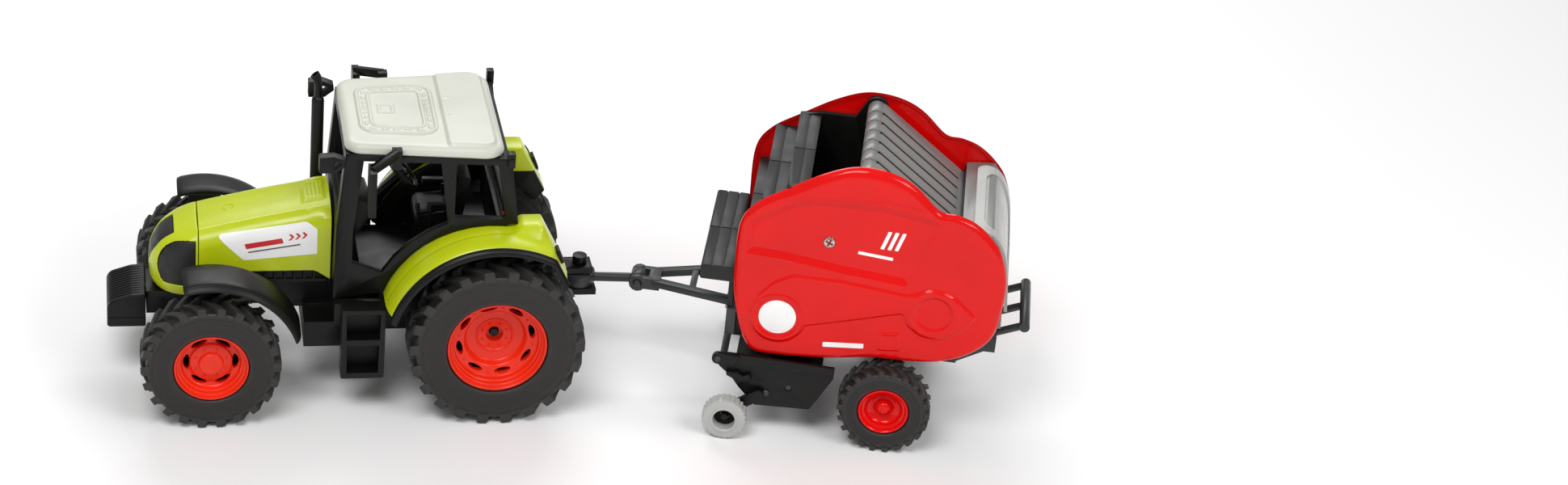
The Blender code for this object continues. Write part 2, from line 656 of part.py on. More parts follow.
def baler_frame(body):
    add = [box((35.5, -6.5, 47.4), (41, 6.5, 53.4)), box((56, -9.5, 50), (59, 9.5, 53.5)),
           box((77, -40, 48), (81.6, 40, 62)),
           box((201, -31, 51), (208, 31, 58.6)),
           cross_rod(221, 62, -22.5, 22.5, 2.6, 12)]
    cut = [cross_rod(*BALER_AXLE, -40, 40, 2 + BORE_PLAY), cross_rod(*KNUCKLE, -9, 9, 2 + BORE_PLAY)]
    for side in (LEFT, RIGHT):
        cheek = circle(KNUCKLE, 4.2, 12)
        add += [side_sheet(side, cheek, 3.6, 6.5),
                side_box(side, (30, 38), (3.6, 6.5), (47.4, 53.4)),
                bar((38, side * 5, 51.2), (80, side * 17, 53), 3.4, 4.2),
                rod((79, side * 38, 52), (77.6, side * 38, 34), 1.8, 10),
                side_box(side, (77, 190), (27, 31), (42.5, 47.6)),
                bar((188, side * 29, 45), (205, side * 29, 55), 4, 5),
                side_box(side, (152, 164), (27, 31), (18, 44))]
    add += [rod((206, y, 55.5), (221, y, 62), 1.9, 10) for y in (-20, 0, 20)]
    first = box((77, -27.5, 43), (81.6, 27.5, 48.5))
    place(combine(first, add, cut), "baler_frame", "grey", body)
    place(cross_rod(*BALER_AXLE, -48, 48, 2), "baler_axle", "steel", body)


def bale_chamber(body):
    stairs = [(82.2, 48.3), (82.2, 105), (88.3, 105), (88.3, 124), (99.5, 124), (99.5, 132.5), (110, 132.5)]
    back = [(110, 129.5), (102.5, 129.5), (102.5, 121), (91.3, 121), (91.3, 102), (85.2, 102), (85.2, 51.3)]
    sheet = stairs + back + [(187, 51.3), (187, 48.3)]
    boss = arc(GATE_HINGE, 5.6, 150, -30, 6)
    front = [(82.6, 48.8)] + [(x + 0.4, z - 0.4) for x, z in stairs[1:-1]]
    side = front + [(110, 134), (127, 134)] + boss + [(141, 118), (146, 62), (186.5, 58), (186.5, 48.8)]
    walls = [side_sheet(s, side, CHAMBER_HALF - WALL, CHAMBER_HALF) for s in (LEFT, RIGHT)]
    rod_hole = cross_rod(*GATE_HINGE, -45, 45, 1.8 + BORE_PLAY)
    place(combine(cut_sheet(sheet, "Y", 1 - CHAMBER_HALF, CHAMBER_HALF - 1), walls, [rod_hole]),
          "bale_chamber", "black", body)
    place(cross_rod(*GATE_HINGE, -40.9, 40.9, 1.8), "gate_hinge_rod", "grey", body)
    cover = rounded([(62.5, 76, 1), (62.5, 84, 1.5), (79.4, 84, 1.5), (79.4, 62.4, 0), (76.8, 62.4, 0),
                     (76.8, 76, 0)])
    place(cut_sheet(cover, "Y", -38.5, 38.5), "front_cover", "black", body)


def panels(body):
    keys = [(79.2, 109.5), (78.6, 86), (79.7, 71), (83, 56.5), (86.6, 47), (91.5, 41), (103, 40.4),
            (126, 42), (146, 45.2), (158.8, 45.9), (170, 46.4), (182.4, 48.4), (195.6, 54.4), (205.4, 65.1),
            (208.3, 82.5), (208.2, 96.5), (204, 110.2), (197.4, 119), (189.4, 125.2), (181, 128.1),
            (172.2, 129.4), (161, 139.4), (151.8, 144.6), (140.5, 147.2), (129, 146.4), (115.4, 140.7),
            (100.3, 131.3), (86, 121.4)]
    for side, word in ((LEFT, "left"), (RIGHT, "right")):
        sheet = side_sheet(side, smooth_outline(keys, 2), PANEL_IN, PANEL_OUT)
        place(sheet, "panel_" + word, "red", body)


def gate(body):
    hinge = empty("gate_hinge", (GATE_HINGE[0], 0, GATE_HINGE[1]), body)
    slats = [(137, 144.6), (141, 143.2), (183, 111.6), (186, 114), (186, 108), (181, 107.8), (138, 136.2)]
    shell = [(182.5, 109.5), (184.2, 115.6), (189, 116.4), (198.2, 117.2), (203.4, 110), (205.8, 97),
             (208.4, 75), (208.6, 70), (205.6, 70), (205.4, 75), (202.8, 96.6), (200.7, 108.6), (197, 114),
             (189, 113.3), (186.4, 112.7), (185, 108)]
    leaf = combine(cut_sheet(slats, "Y", -GATE_HALF, GATE_HALF),
                   [cross_rod(*GATE_HINGE, -GATE_HALF, GATE_HALF, 4.4), cut_sheet(shell, "Y", -40.2, 40.2)],
                   [cross_rod(*GATE_HINGE, -45, 45, 1.8 + BORE_PLAY)])
    place(leaf, "gate", "grey", hinge)
    outer = [(200.4, 118.8), (205.8, 111), (208.2, 97.3), (210.9, 75)]
    inner = [(208.75, 75), (206.15, 97), (203.75, 110.2), (198.9, 117.4)]
    frame = combine(cut_sheet(outer + inner, "Y", -35, 35), cut=[box((195, -28, 80), (220, 28, 110))])
    place(frame, "gate_window", "light_grey", hinge)


def pickup(body):
    plate = rounded([(75.4, 35.3, 2), (80.3, 41.6, 0.5), (132.3, 40.4, 0.5), (132.2, 34.8, 0.5),
                     (122.2, 16, 1), (95.4, 14.8, 1), (86.8, 23.9, 1), (82.4, 29.6, 1)])
    holes = [circle(GAUGE_PIVOT, PIVOT_R + BORE_PLAY, 12), circle(REEL, PIVOT_R + BORE_PLAY, 12)]
    plates = [side_sheet(s, plate, 46, 48, holes) for s in (LEFT, RIGHT)]
    rear_wall = box((123, -46.5, 24), (126, 46.5, 37))
    posts = [side_box(s, (100, 120), (27, 31), (36, 42.2)) for s in (LEFT, RIGHT)]
    place(combine(box((84, -46.5, 35.4), (126, 46.5, 38)), plates + [rear_wall] + posts),
          "pickup_housing", "black", body)

    spin = empty("reel_spindle", (REEL[0], 0, REEL[1]), body)
    tines = []
    for i in range(5):
        for turn in (0, 90):
            tine = box((-REEL_RADIUS, -0.8, -0.8), (REEL_RADIUS, 0.8, 0.8))
            angle = math.radians(turn + 45 * (i % 2))
            tine.data.transform(Matrix.Translation(Vector((REEL[0], (i - 2) * 18.0, REEL[1])) * MM)
                                @ Matrix.Rotation(angle, 4, "Y"))
            tines.append(tine)
    spindle = cross_rod(*REEL, -47.6, 47.6, PIVOT_R, 12)
    core = combine(cross_rod(*REEL, -45.4, 45.4, 2.8, 12), [spindle] + tines)
    place(core, "pickup_reel", "grey", spin)

    swing = empty("gauge_pivot", (GAUGE_PIVOT[0], 0, GAUGE_PIVOT[1]), body)
    slope = math.degrees(math.atan2(GAUGE_HUB[1] - GAUGE_PIVOT[1], GAUGE_HUB[0] - GAUGE_PIVOT[0]))
    link = arc(GAUGE_PIVOT, 2.8, slope - 270, slope - 90, 6) + arc(GAUGE_HUB, 2.8, slope - 90, slope + 90, 6)
    arms = []
    for side in (LEFT, RIGHT):
        arms += [side_sheet(side, link, 48.6, 50.8), cross_rod(*GAUGE_HUB, side * 49.5, side * 57, 1.8, 12)]
    place(combine(cross_rod(*GAUGE_PIVOT, -50, 50, PIVOT_R, 12), arms), "gauge_arm", "black", swing)
    wheel = [(5.3, 60), (10.2, 60), (11, 59), (11, 52.6), (10.2, 51.6), (2.1, 51.6), (2.1, 54), (5.3, 54)]
    for side, word in ((LEFT, "left"), (RIGHT, "right")):
        hub = empty("gauge_hub_" + word, (GAUGE_HUB[0], 0, GAUGE_HUB[1]), swing)
        place(turned(wheel, side, GAUGE_HUB, RIM_STEPS), "gauge_wheel_" + word, "light_grey", hub)


def baler_wheels(body):
    bore = 2 + BORE_PLAY
    rim = [(0, 50.6), (3, 50.4), (4.6, 47.8), (8.2, 48.6), (10.6, 52.4), (12.4, 52.4), (12.4, 38.6),
           (11, 38.6), (9, 45.6), (4.4, 45.6), (4.4, 39.6), (bore, 39.6), (bore, 48.3), (0, 48.3)]
    for side, word in ((LEFT, "left"), (RIGHT, "right")):
        road_wheel(body, "baler", side, word, BALER_AXLE, BALER_RADIUS, BALER_RIM,
                   (BALER_TYRE_IN, BALER_TYRE_OUT), rim, None)


# ---------------------------------------------------------------- assembly

def centre_on_origin(root):
    """Stand the model on z = 0, with the middle of its bounding box over the origin."""
    bpy.context.view_layer.update()
    corners = [obj.matrix_world @ vertex.co for obj in PARTS.objects if obj.type == "MESH"
               for vertex in obj.data.vertices]
    low = [min(c[i] for c in corners) for i in range(3)]
    high = [max(c[i] for c in corners) for i in range(3)]
    root.location = (-(low[0] + high[0]) / 2, -(low[1] + high[1]) / 2, -low[2])
    bpy.context.view_layer.update()


def build():
    root = empty("toy_tractor_origin")
    chassis(root)
    front_weight(root)
    hood(root)
    nose(root)
    exhaust(root)
    cab(root)
    steering_wheel(root)
    roof(root)
    cab_fittings(root)
    running_gear(root)
    baler = hitch(root)
    baler_frame(baler)
    bale_chamber(baler)
    panels(baler)
    gate(baler)
    pickup(baler)
    baler_wheels(baler)
    centre_on_origin(root)


clear_scene()
PARTS = bpy.data.collections.new("toy_tractor")
bpy.context.scene.collection.children.link(PARTS)
build()
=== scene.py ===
"""Looks of the toy tractor and its round baler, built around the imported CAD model.

Shapes are written in millimetres in one of two frames: the tractor's, with x = 0 at the front axle and
the nose towards -X, and the baler's, which starts at the hitch pin. Left is -Y.
"""
import json
import math

import bmesh
import bpy
import numpy as np
from mathutils import Matrix, Vector

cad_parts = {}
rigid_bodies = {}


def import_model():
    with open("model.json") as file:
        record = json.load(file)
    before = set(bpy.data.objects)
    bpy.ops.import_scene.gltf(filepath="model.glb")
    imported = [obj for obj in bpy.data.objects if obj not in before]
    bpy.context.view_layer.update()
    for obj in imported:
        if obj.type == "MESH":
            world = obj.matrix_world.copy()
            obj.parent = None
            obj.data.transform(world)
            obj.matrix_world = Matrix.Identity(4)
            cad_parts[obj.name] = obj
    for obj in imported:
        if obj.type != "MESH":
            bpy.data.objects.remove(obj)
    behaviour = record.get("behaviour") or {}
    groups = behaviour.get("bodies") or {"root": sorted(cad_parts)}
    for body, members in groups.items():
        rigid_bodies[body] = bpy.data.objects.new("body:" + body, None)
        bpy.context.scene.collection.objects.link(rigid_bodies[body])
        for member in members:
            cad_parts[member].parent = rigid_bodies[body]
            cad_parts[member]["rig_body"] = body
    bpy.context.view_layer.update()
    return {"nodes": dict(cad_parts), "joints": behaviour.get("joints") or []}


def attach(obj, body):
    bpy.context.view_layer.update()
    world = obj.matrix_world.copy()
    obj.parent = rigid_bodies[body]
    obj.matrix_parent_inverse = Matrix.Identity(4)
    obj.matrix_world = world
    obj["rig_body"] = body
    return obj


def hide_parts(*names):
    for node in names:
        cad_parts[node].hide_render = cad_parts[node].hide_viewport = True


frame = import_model()
JOINTS = {joint["name"]: joint for joint in frame["joints"]}
NODES = frame["nodes"]

MM = Matrix.Scale(0.001, 4)
LEFT, RIGHT = -1, 1
SIDES = ((LEFT, "left"), (RIGHT, "right"))
rock = Vector(JOINTS["front_axle_rock"]["pos_m"])
hitch = Vector(JOINTS["hitch_yaw"]["pos_m"])
across = Vector(JOINTS["baler_wheel_left_spin"]["axis"])
TRACTOR = Matrix.Translation((rock.x, rock.y, 0)) @ MM
BALER_TURN = Matrix.Rotation(-math.atan2(across.x, across.y), 4, "Z")
BALER = Matrix.Translation((hitch.x, hitch.y, 0)) @ BALER_TURN @ MM
BALER_BODIES = ("baler", "drawbar", "gate", "gauge", "pickup")


def body_of(node):
    return NODES[node]["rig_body"]


def home(body):
    """The local frame that a body's shapes are written in."""
    return BALER if body.startswith(BALER_BODIES) else TRACTOR


def local_box(node):
    """Lowest and highest corner of a CAD node in millimetres of its local frame."""
    points = np.array([home(body_of(node)).inverted() @ v.co for v in NODES[node].data.vertices])
    return points.min(0), points.max(0)


def side_span(node):
    """Least and greatest distance of a CAD node from its frame's middle plane."""
    low, high = local_box(node)
    return sorted((abs(low[1]), abs(high[1])))


# ---------------------------------------------------------------- finishes

class Graph:
    """Short names for the few shader nodes that the finishes use."""

    def __init__(self, name):
        self.material = bpy.data.materials.new(name)
        self.material.use_nodes = True
        self.tree = self.material.node_tree
        self.shader = self.tree.nodes["Principled BSDF"]
        self.place = self.tree.nodes.new("ShaderNodeTexCoord").outputs["Object"]

    def wire(self, socket, value):
        if isinstance(value, bpy.types.NodeSocket):
            self.tree.links.new(value, socket)
        else:
            socket.default_value = value

    def add(self, kind, inputs, **settings):
        node = self.tree.nodes.new(kind)
        for key, value in settings.items():
            setattr(node, key, value)
        for key, value in inputs.items():
            self.wire(node.inputs[key], value)
        return node

    def noise(self, size_mm, detail=3.0):
        return self.add("ShaderNodeTexNoise", {"Vector": self.place, "Scale": 1000.0 / size_mm,
                                               "Detail": detail}).outputs["Fac"]

    def spread(self, value, low, high, start=0.3, end=0.7):
        return self.add("ShaderNodeMapRange", {"Value": value, "From Min": start, "From Max": end,
                                               "To Min": low, "To Max": high}).outputs["Result"]

    def mix(self, factor, first, second):
        node = self.add("ShaderNodeMix", {"Factor": factor}, data_type="RGBA")
        self.wire(node.inputs[6], first)
        self.wire(node.inputs[7], second)
        return node.outputs[2]

    def bump(self, height, distance_mm, strength, under=None):
        inputs = {"Height": height, "Distance": distance_mm / 1000.0, "Strength": strength}
        if under:
            inputs["Normal"] = under
        return self.add("ShaderNodeBump", inputs).outputs["Normal"]

    def feed(self, **sockets):
        for name, value in sockets.items():
            self.wire(self.shader.inputs[name.replace("_", " ")], value)


def srgb(red, green, blue):
    channels = [c / 255.0 for c in (red, green, blue)]
    return [c / 12.92 if c <= 0.04045 else ((c + 0.055) / 1.055) ** 2.4 for c in channels] + [1.0]


def scaled(colour, factor):
    return [min(1.0, c * factor) for c in colour[:3]] + [1.0]


def plastic(name, colour, roughness, grain=0.01, specular=0.5):
    """Injection-moulded plastic: faint flow mottling, fine surface grain and handling marks in the gloss."""
    g = Graph(name)
    flow = g.noise(38.0, 2.0)
    fine = g.noise(0.55, 2.0)
    smudge = g.noise(9.0, 1.5)
    body = g.mix(g.spread(flow, 0.0, 1.0), scaled(colour, 0.94), scaled(colour, 1.05))
    worn = g.spread(smudge, 0.0, 0.03, 0.5, 0.8)
    body = g.mix(worn, body, scaled([c + 0.03 for c in colour[:3]], 1.1))
    waves = g.bump(g.noise(14.0, 1.0), 0.05, 0.15)
    g.feed(Base_Color=body, Roughness=g.spread(smudge, roughness - 0.03, roughness + 0.06),
           Normal=g.bump(fine, grain, 0.6, waves), Specular_IOR_Level=specular)
    return g.material


def rubber(name, colour):
    """Soft vinyl tyre: matt, a little dusty, with a painted highlight that lightens the raised ribs and edges,
    and mould grain.
    """
    g = Graph(name)
    dust = g.noise(6.0, 6.0)
    painted_glint = g.add("ShaderNodeNewGeometry", {}).outputs["Pointiness"]
    body = g.mix(g.spread(dust, 0.0, 0.5, 0.45, 0.75), colour, scaled([c + 0.012 for c in colour[:3]], 1.35))
    # Painted highlight: convex ribs and edges, found by their pointiness, are lightened.
    body = g.mix(g.spread(painted_glint, 0.0, 0.35, 0.5, 0.58), body, scaled([c + 0.02 for c in colour[:3]], 1.5))
    g.feed(Base_Color=body, Roughness=g.spread(dust, 0.5, 0.68), Normal=g.bump(g.noise(0.4, 3.0), 0.03, 0.7))
    return g.material


def mesh_plastic(name, colour):
    """Black grille insert with a fine square mesh moulded into it."""
    g = Graph(name)
    waves = []
    for direction in ("X", "Z"):
        wave = g.add("ShaderNodeTexWave", {"Vector": g.place, "Scale": 320.0}, bands_direction=direction)
        waves.append(wave.outputs["Fac"])
    weave = g.add("ShaderNodeMath", {0: waves[0], 1: waves[1]}, operation="MAXIMUM").outputs[0]
    body = g.mix(weave, scaled(colour, 0.6), scaled(colour, 1.3))
    g.feed(Base_Color=body, Roughness=g.spread(g.noise(5.0), 0.4, 0.55), Normal=g.bump(weave, 0.15, 0.6))
    return g.material


def steel(name):
    g = Graph(name)
    scratch = g.noise(1.2, 6.0)
    g.feed(Base_Color=g.mix(g.noise(7.0), srgb(176, 172, 166), srgb(206, 203, 198)), Metallic=1.0,
           Roughness=g.spread(scratch, 0.22, 0.4), Normal=g.bump(scratch, 0.01, 0.4))
    return g.material


LIME = (plastic("lime_plastic", srgb(190, 204, 14), 0.28), "lime_plastic")
BLACK = (plastic("black_plastic", srgb(14, 14, 13), 0.38, grain=0.015, specular=0.27), "black_plastic")
DARK = (plastic("dark_plastic", srgb(37, 38, 39), 0.4, grain=0.015, specular=0.27), "black_plastic")
ROOF_WHITE = (plastic("white_plastic", srgb(204, 206, 194), 0.34), "white_plastic")
ORANGE = (plastic("orange_plastic", srgb(232, 42, 10), 0.3, specular=0.4), "orange_plastic")
RED = (plastic("red_plastic", srgb(224, 10, 8), 0.12, grain=0.004, specular=0.3), "red_plastic")
GREY = (plastic("grey_plastic", srgb(54, 55, 57), 0.36, specular=0.4), "grey_plastic")
SILVER = (plastic("silver_plastic", srgb(124, 124, 122), 0.28), "grey_plastic")
LIGHT_GREY = (plastic("light_grey_plastic", srgb(180, 181, 178), 0.3), "light_grey_plastic")
PANE = (plastic("pane_plastic", srgb(176, 176, 173), 0.26), "light_grey_plastic")
TYRE = (rubber("tyre_rubber", srgb(27, 25, 23)), "tyre_rubber")
GRILLE = (mesh_plastic("grille_mesh", srgb(18, 18, 17)), "black_plastic")
STEEL = (steel("steel_rod"), "steel_axle")
BLACKENED = (plastic("blackened_steel", srgb(14, 13, 12), 0.4, grain=0.01, specular=0.3), "steel_axle")
STICKER = (plastic("white_sticker", srgb(250, 251, 248), 0.45, grain=0.005), "white_plastic")
INK = (plastic("sticker_ink", srgb(206, 34, 40), 0.4, grain=0.005), "red_plastic")
INK_GREY = (plastic("sticker_ink_grey", srgb(92, 94, 96), 0.4, grain=0.005), "grey_plastic")


# ---------------------------------------------------------------- mesh tools, in millimetres

def solid_from(mesh):
    obj = bpy.data.objects.new("solid", mesh)
    bpy.context.scene.collection.objects.link(obj)
    return obj


def settled(bm):
    mesh = bpy.data.meshes.new("solid")
    bm.to_mesh(mesh)
    bm.free()
    return solid_from(mesh)


def from_bmesh(bm):
    """An object from a closed mesh, with its faces turned outwards."""
    bmesh.ops.recalc_face_normals(bm, faces=bm.faces)
    if bm.calc_volume(signed=True) < 0:
        bmesh.ops.reverse_faces(bm, faces=bm.faces)
    return settled(bm)


def taken(obj):
    """The mesh of a throwaway object, ready to edit."""
    bm = bmesh.new()
    bm.from_mesh(obj.data)
    bpy.data.objects.remove(obj, do_unlink=True)
    return bm


def score(bm, at, facing):
    """Split the faces that a plane crosses, and keep both halves."""
    bmesh.ops.bisect_plane(bm, geom=bm.verts[:] + bm.edges[:] + bm.faces[:], plane_co=at, plane_no=facing)


def evaluated(obj):
    """Replace an object by one with its modifiers applied."""
    mesh = bpy.data.meshes.new_from_object(obj.evaluated_get(bpy.context.evaluated_depsgraph_get()))
    bpy.data.objects.remove(obj, do_unlink=True)
    return solid_from(mesh)


def box(x, y, z):
    bm = bmesh.new()
    bmesh.ops.create_cube(bm, size=1.0)
    low = Vector((min(x), min(y), min(z)))
    high = Vector((max(x), max(y), max(z)))
    bmesh.ops.scale(bm, vec=high - low, verts=bm.verts)
    bmesh.ops.translate(bm, vec=(high + low) / 2, verts=bm.verts)
    return from_bmesh(bm)


def laid(bm, start, along):
    """Lay a shape made along Z from a start point along a vector."""
    turn = along.to_track_quat("Z", "Y").to_matrix().to_4x4()
    bm.transform(Matrix.Translation(Vector(start) + along / 2) @ turn)
    return from_bmesh(bm)


def rod(start, end, radius, segments=24, end_radius=None):
    along = Vector(end) - Vector(start)
    bm = bmesh.new()
    bmesh.ops.create_cone(bm, cap_ends=True, segments=segments, radius1=radius,
                          radius2=end_radius or radius, depth=along.length)
    return laid(bm, start, along)


def bar(start, end, width, height):
    """A straight bar of rectangular section; width is measured along Y."""
    along = Vector(end) - Vector(start)
    bm = bmesh.new()
    bmesh.ops.create_cube(bm, size=1.0)
    bmesh.ops.scale(bm, vec=(height, width, along.length), verts=bm.verts)
    return laid(bm, start, along)


TURN = {"X": Matrix(((0, 0, 1, 0), (1, 0, 0, 0), (0, 1, 0, 0), (0, 0, 0, 1))),
        "Y": Matrix.Rotation(math.radians(90), 4, "X"),
        "Z": Matrix.Identity(4)}


def sheet(outline, axis, low, high, holes=(), edge=0.0):
    """A flat outline with holes, extruded along an axis, with edges rounded by the given radius."""
    curve = bpy.data.curves.new("outline", "CURVE")
    curve.dimensions = "2D"
    curve.fill_mode = "BOTH"
    curve.extrude = abs(high - low) / 2 - edge
    curve.bevel_depth = edge
    curve.offset = -edge
    curve.bevel_resolution = 2
    for loop in [outline, *holes]:
        spline = curve.splines.new("POLY")
        spline.points.add(len(loop) - 1)
        for point, (a, b) in zip(spline.points, loop):
            point.co = (a, b, 0.0, 1.0)
        spline.use_cyclic_u = True
    bm = taken(evaluated(solid_from(curve)))
    bmesh.ops.remove_doubles(bm, verts=bm.verts, dist=0.001)
    middle = (high + low) / 2
    shift = {"X": (middle, 0, 0), "Y": (0, middle, 0), "Z": (0, 0, middle)}[axis]
    bm.transform(Matrix.Translation(shift) @ TURN[axis])
    return from_bmesh(bm)


def side_sheet(side, outline, y0, y1, holes=(), edge=0.0):
    return sheet(outline, "Y", side * y0, side * y1, holes, edge)


def arc(centre, radius, start, end, steps):
    """Points along an arc; angles in degrees from the first axis towards the second."""
    points = []
    for i in range(steps + 1):
        angle = math.radians(start + (end - start) * i / steps)
        points.append((centre[0] + radius * math.cos(angle), centre[1] + radius * math.sin(angle)))
    return points


def rounded(corners, steps=5):
    """A closed outline from (a, b, radius) corners, each rounded with an arc."""
    points = []
    for i, (a, b, radius) in enumerate(corners):
        here = Vector((a, b))
        to_last = (Vector(corners[i - 1][:2]) - here).normalized()
        to_next = (Vector(corners[(i + 1) % len(corners)][:2]) - here).normalized()
        if radius == 0:
            points.append((a, b))
            continue
        half = to_last.angle(to_next) / 2
        centre = here + (to_last + to_next).normalized() * (radius / math.sin(half))
        first = here + to_last * (radius / math.tan(half)) - centre
        turn = math.copysign(1, to_last.x * to_next.y - to_last.y * to_next.x)
        for k in range(steps + 1):
            swing = Matrix.Rotation(-turn * (math.pi - 2 * half) * k / steps, 2)
            points.append(tuple(centre + swing @ first))
    return points


def smooth(points, steps=6, closed=False):
    """A Catmull-Rom curve through points of any dimension."""
    out = []
    count = len(points)
    for i in range(count if closed else count - 1):
        picks = [(i + k - 1) % count if closed else min(max(i + k - 1, 0), count - 1) for k in range(4)]
        p0, p1, p2, p3 = (Vector(points[k]) for k in picks)
        for k in range(steps):
            t = k / steps
            out.append(tuple(0.5 * (2 * p1 + (p2 - p0) * t + (2 * p0 - 5 * p1 + 4 * p2 - p3) * t * t
                                    + (3 * p1 - p0 - 3 * p2 + p3) * t ** 3)))
    if not closed:
        out.append(tuple(points[-1]))
    return out


def loft(rings, cap=True):
    """Join closed rings of equal length; the ends are capped."""
    bm = bmesh.new()
    grid = [[bm.verts.new(p) for p in ring] for ring in rings]
    for near, far in zip(grid, grid[1:]):
        for i in range(len(near)):
            k = (i + 1) % len(near)
            bm.faces.new((near[i], near[k], far[k], far[i]))
    if cap:
        bm.faces.new(grid[0])
        bm.faces.new(grid[-1])
    return bm


def arch(side, centre, sections):
    """Sweep a section round a wheel: each is (angle, [(distance from the middle, radius)])."""
    rings = []
    for angle, section in sections:
        c, s = math.cos(math.radians(angle)), math.sin(math.radians(angle))
        rings.append([(centre[0] + r * c, side * y, centre[1] + r * s) for y, r in section])
    return from_bmesh(loft(rings))


def turned_mesh(profile, side, centre, steps):
    """Turn a closed (radius, distance from the middle) outline about the axle line."""
    rings = []
    for i in range(steps):
        angle = 2 * math.pi * i / steps
        c, s = math.cos(angle), math.sin(angle)
        rings.append([(centre[0] + r * c, side * y, centre[1] + r * s) for r, y in profile])
    bm = loft(rings + [rings[0]], cap=False)
    bmesh.ops.remove_doubles(bm, verts=bm.verts, dist=0.0005)
    return bm


def turned(profile, side, centre, steps):
    return from_bmesh(turned_mesh(profile, side, centre, steps))


def combine(base, add=(), cut=(), common=()):
    for tools, operation in ((add, "UNION"), (cut, "DIFFERENCE"), (common, "INTERSECT")):
        for tool in tools:
            modifier = base.modifiers.new(operation, "BOOLEAN")
            modifier.operation = operation
            modifier.solver = "EXACT"
            modifier.object = tool
    mesh = bpy.data.meshes.new_from_object(base.evaluated_get(bpy.context.evaluated_depsgraph_get()))
    for used in (base, *add, *cut, *common):
        bpy.data.objects.remove(used, do_unlink=True)
    return solid_from(mesh)


def joined(objects):
    """Gather several solids into one mesh without welding them."""
    bm = bmesh.new()
    for obj in objects:
        bm.from_mesh(obj.data)
        bpy.data.objects.remove(obj, do_unlink=True)
    return settled(bm)


def remeshed(obj, voxel, smoothing, keep):
    """Melt a solid into one skin with softly rounded edges, as a mould leaves them."""
    melt = obj.modifiers.new("Melt", "REMESH")
    melt.mode = "VOXEL"
    melt.voxel_size = voxel
    soften = obj.modifiers.new("Soften", "SMOOTH")
    soften.factor = 0.5
    soften.iterations = smoothing
    thin = obj.modifiers.new("Thin", "DECIMATE")
    thin.ratio = keep
    return evaluated(obj)


def piece(obj, name, body, finish, stands_for=(), bevel=0.0, sharp=32, segments=2):
    """Name, place and finish a solid, round its edges, and hang it on its body."""
    obj.name = name
    obj.data.name = name
    obj.data.transform(home(body))
    obj.data.materials.clear()
    obj.data.materials.append(finish[0])
    obj.data.shade_smooth()
    if bevel:
        bevelled(obj, bevel, sharp, segments)
    else:
        obj.data.set_sharp_from_angle(angle=math.radians(sharp))
    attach(obj, body)
    if stands_for:
        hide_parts(*stands_for)
    return obj


def second_finish(obj, finish, where, wanted):
    """Give another finish to the faces picked by their middle and direction in a local frame."""
    obj.data.materials.append(finish[0])
    inwards = where.inverted()
    for face in obj.data.polygons:
        if wanted(inwards @ face.center, (inwards.to_3x3() @ face.normal).normalized()):
            face.material_index = 1


def bevelled(obj, width, sharp, segments):
    edge = obj.modifiers.new("Edge", "BEVEL")
    edge.width = width / 1000.0
    edge.segments = segments
    edge.limit_method = "ANGLE"
    edge.angle_limit = math.radians(sharp)
    edge.harden_normals = True
    edge.miter_outer = "MITER_ARC"


def refined(node, finish, bevel=0.35, cut=()):
    """A CAD node's own shape with moulded edges and grooves, which stands for the node."""
    body = body_of(node)
    bm = bmesh.new()
    bm.from_mesh(NODES[node].data)
    bm.transform(home(body).inverted())
    bmesh.ops.remove_doubles(bm, verts=bm.verts, dist=0.01)
    bmesh.ops.dissolve_limit(bm, angle_limit=math.radians(1.0), verts=bm.verts, edges=bm.edges)
    obj = from_bmesh(bm)
    if cut:
        obj = combine(obj, cut=cut)
    return piece(obj, node + "_moulding", body, finish, (node,), bevel)


# ---------------------------------------------------------------- wheels

LUGS = 22                      # in each of the two rows round every lugged tyre


def wheel_centre(node):
    low, high = local_box(node)
    return (high[0] + low[0]) / 2, (high[2] + low[2]) / 2


def wheel_radius(node):
    low, high = local_box(node)
    return (high[2] - low[2]) / 2


def tyre(prefix, side, word, lug_height):
    """Vinyl tyre: a smooth bulged sidewall with a shoulder ring, and bent lugs in two staggered rows."""
    name = f"{prefix}_tyre_{word}"
    radius = wheel_radius(name)
    centre = wheel_centre(name)
    inside, outside = side_span(name)
    bore = wheel_radius(f"{prefix}_rim_{word}") + 0.3
    width = outside - inside
    crown = radius - lug_height
    wall = crown - bore
    half = [(bore, 0.6), (bore + 0.5, 0.05), (bore + 1.4, 0.0), (bore + 2.2, 0.35),
            (bore + wall * 0.35, 0.25), (bore + wall * 0.62, 0.35), (bore + wall * 0.66, 0.15),
            (bore + wall * 0.72, 0.1), (bore + wall * 0.78, 0.4), (crown - 2.0, 0.25), (crown - 0.8, 0.45),
            (crown - 0.1, 1.1), (crown, 2.4), (crown + 0.35, width * 0.3)]
    profile = [(r, outside - d) for r, d in half] + [(crown + 0.45, (inside + outside) / 2)]
    profile += [(r, inside + d) for r, d in reversed(half)]
    bm = turned_mesh(profile, side, centre, 96)
    middle = (inside + outside) / 2
    for row, sign in ((0, 1), (1, -1)):
        for i in range(LUGS):
            add_lug(bm, side, centre, middle, sign * width / 2, radius, lug_height, i + 0.5 * row)
    bmesh.ops.recalc_face_normals(bm, faces=bm.faces)
    piece(settled(bm), name + "_lugged", body_of(name), TYRE, (name,), sharp=28)


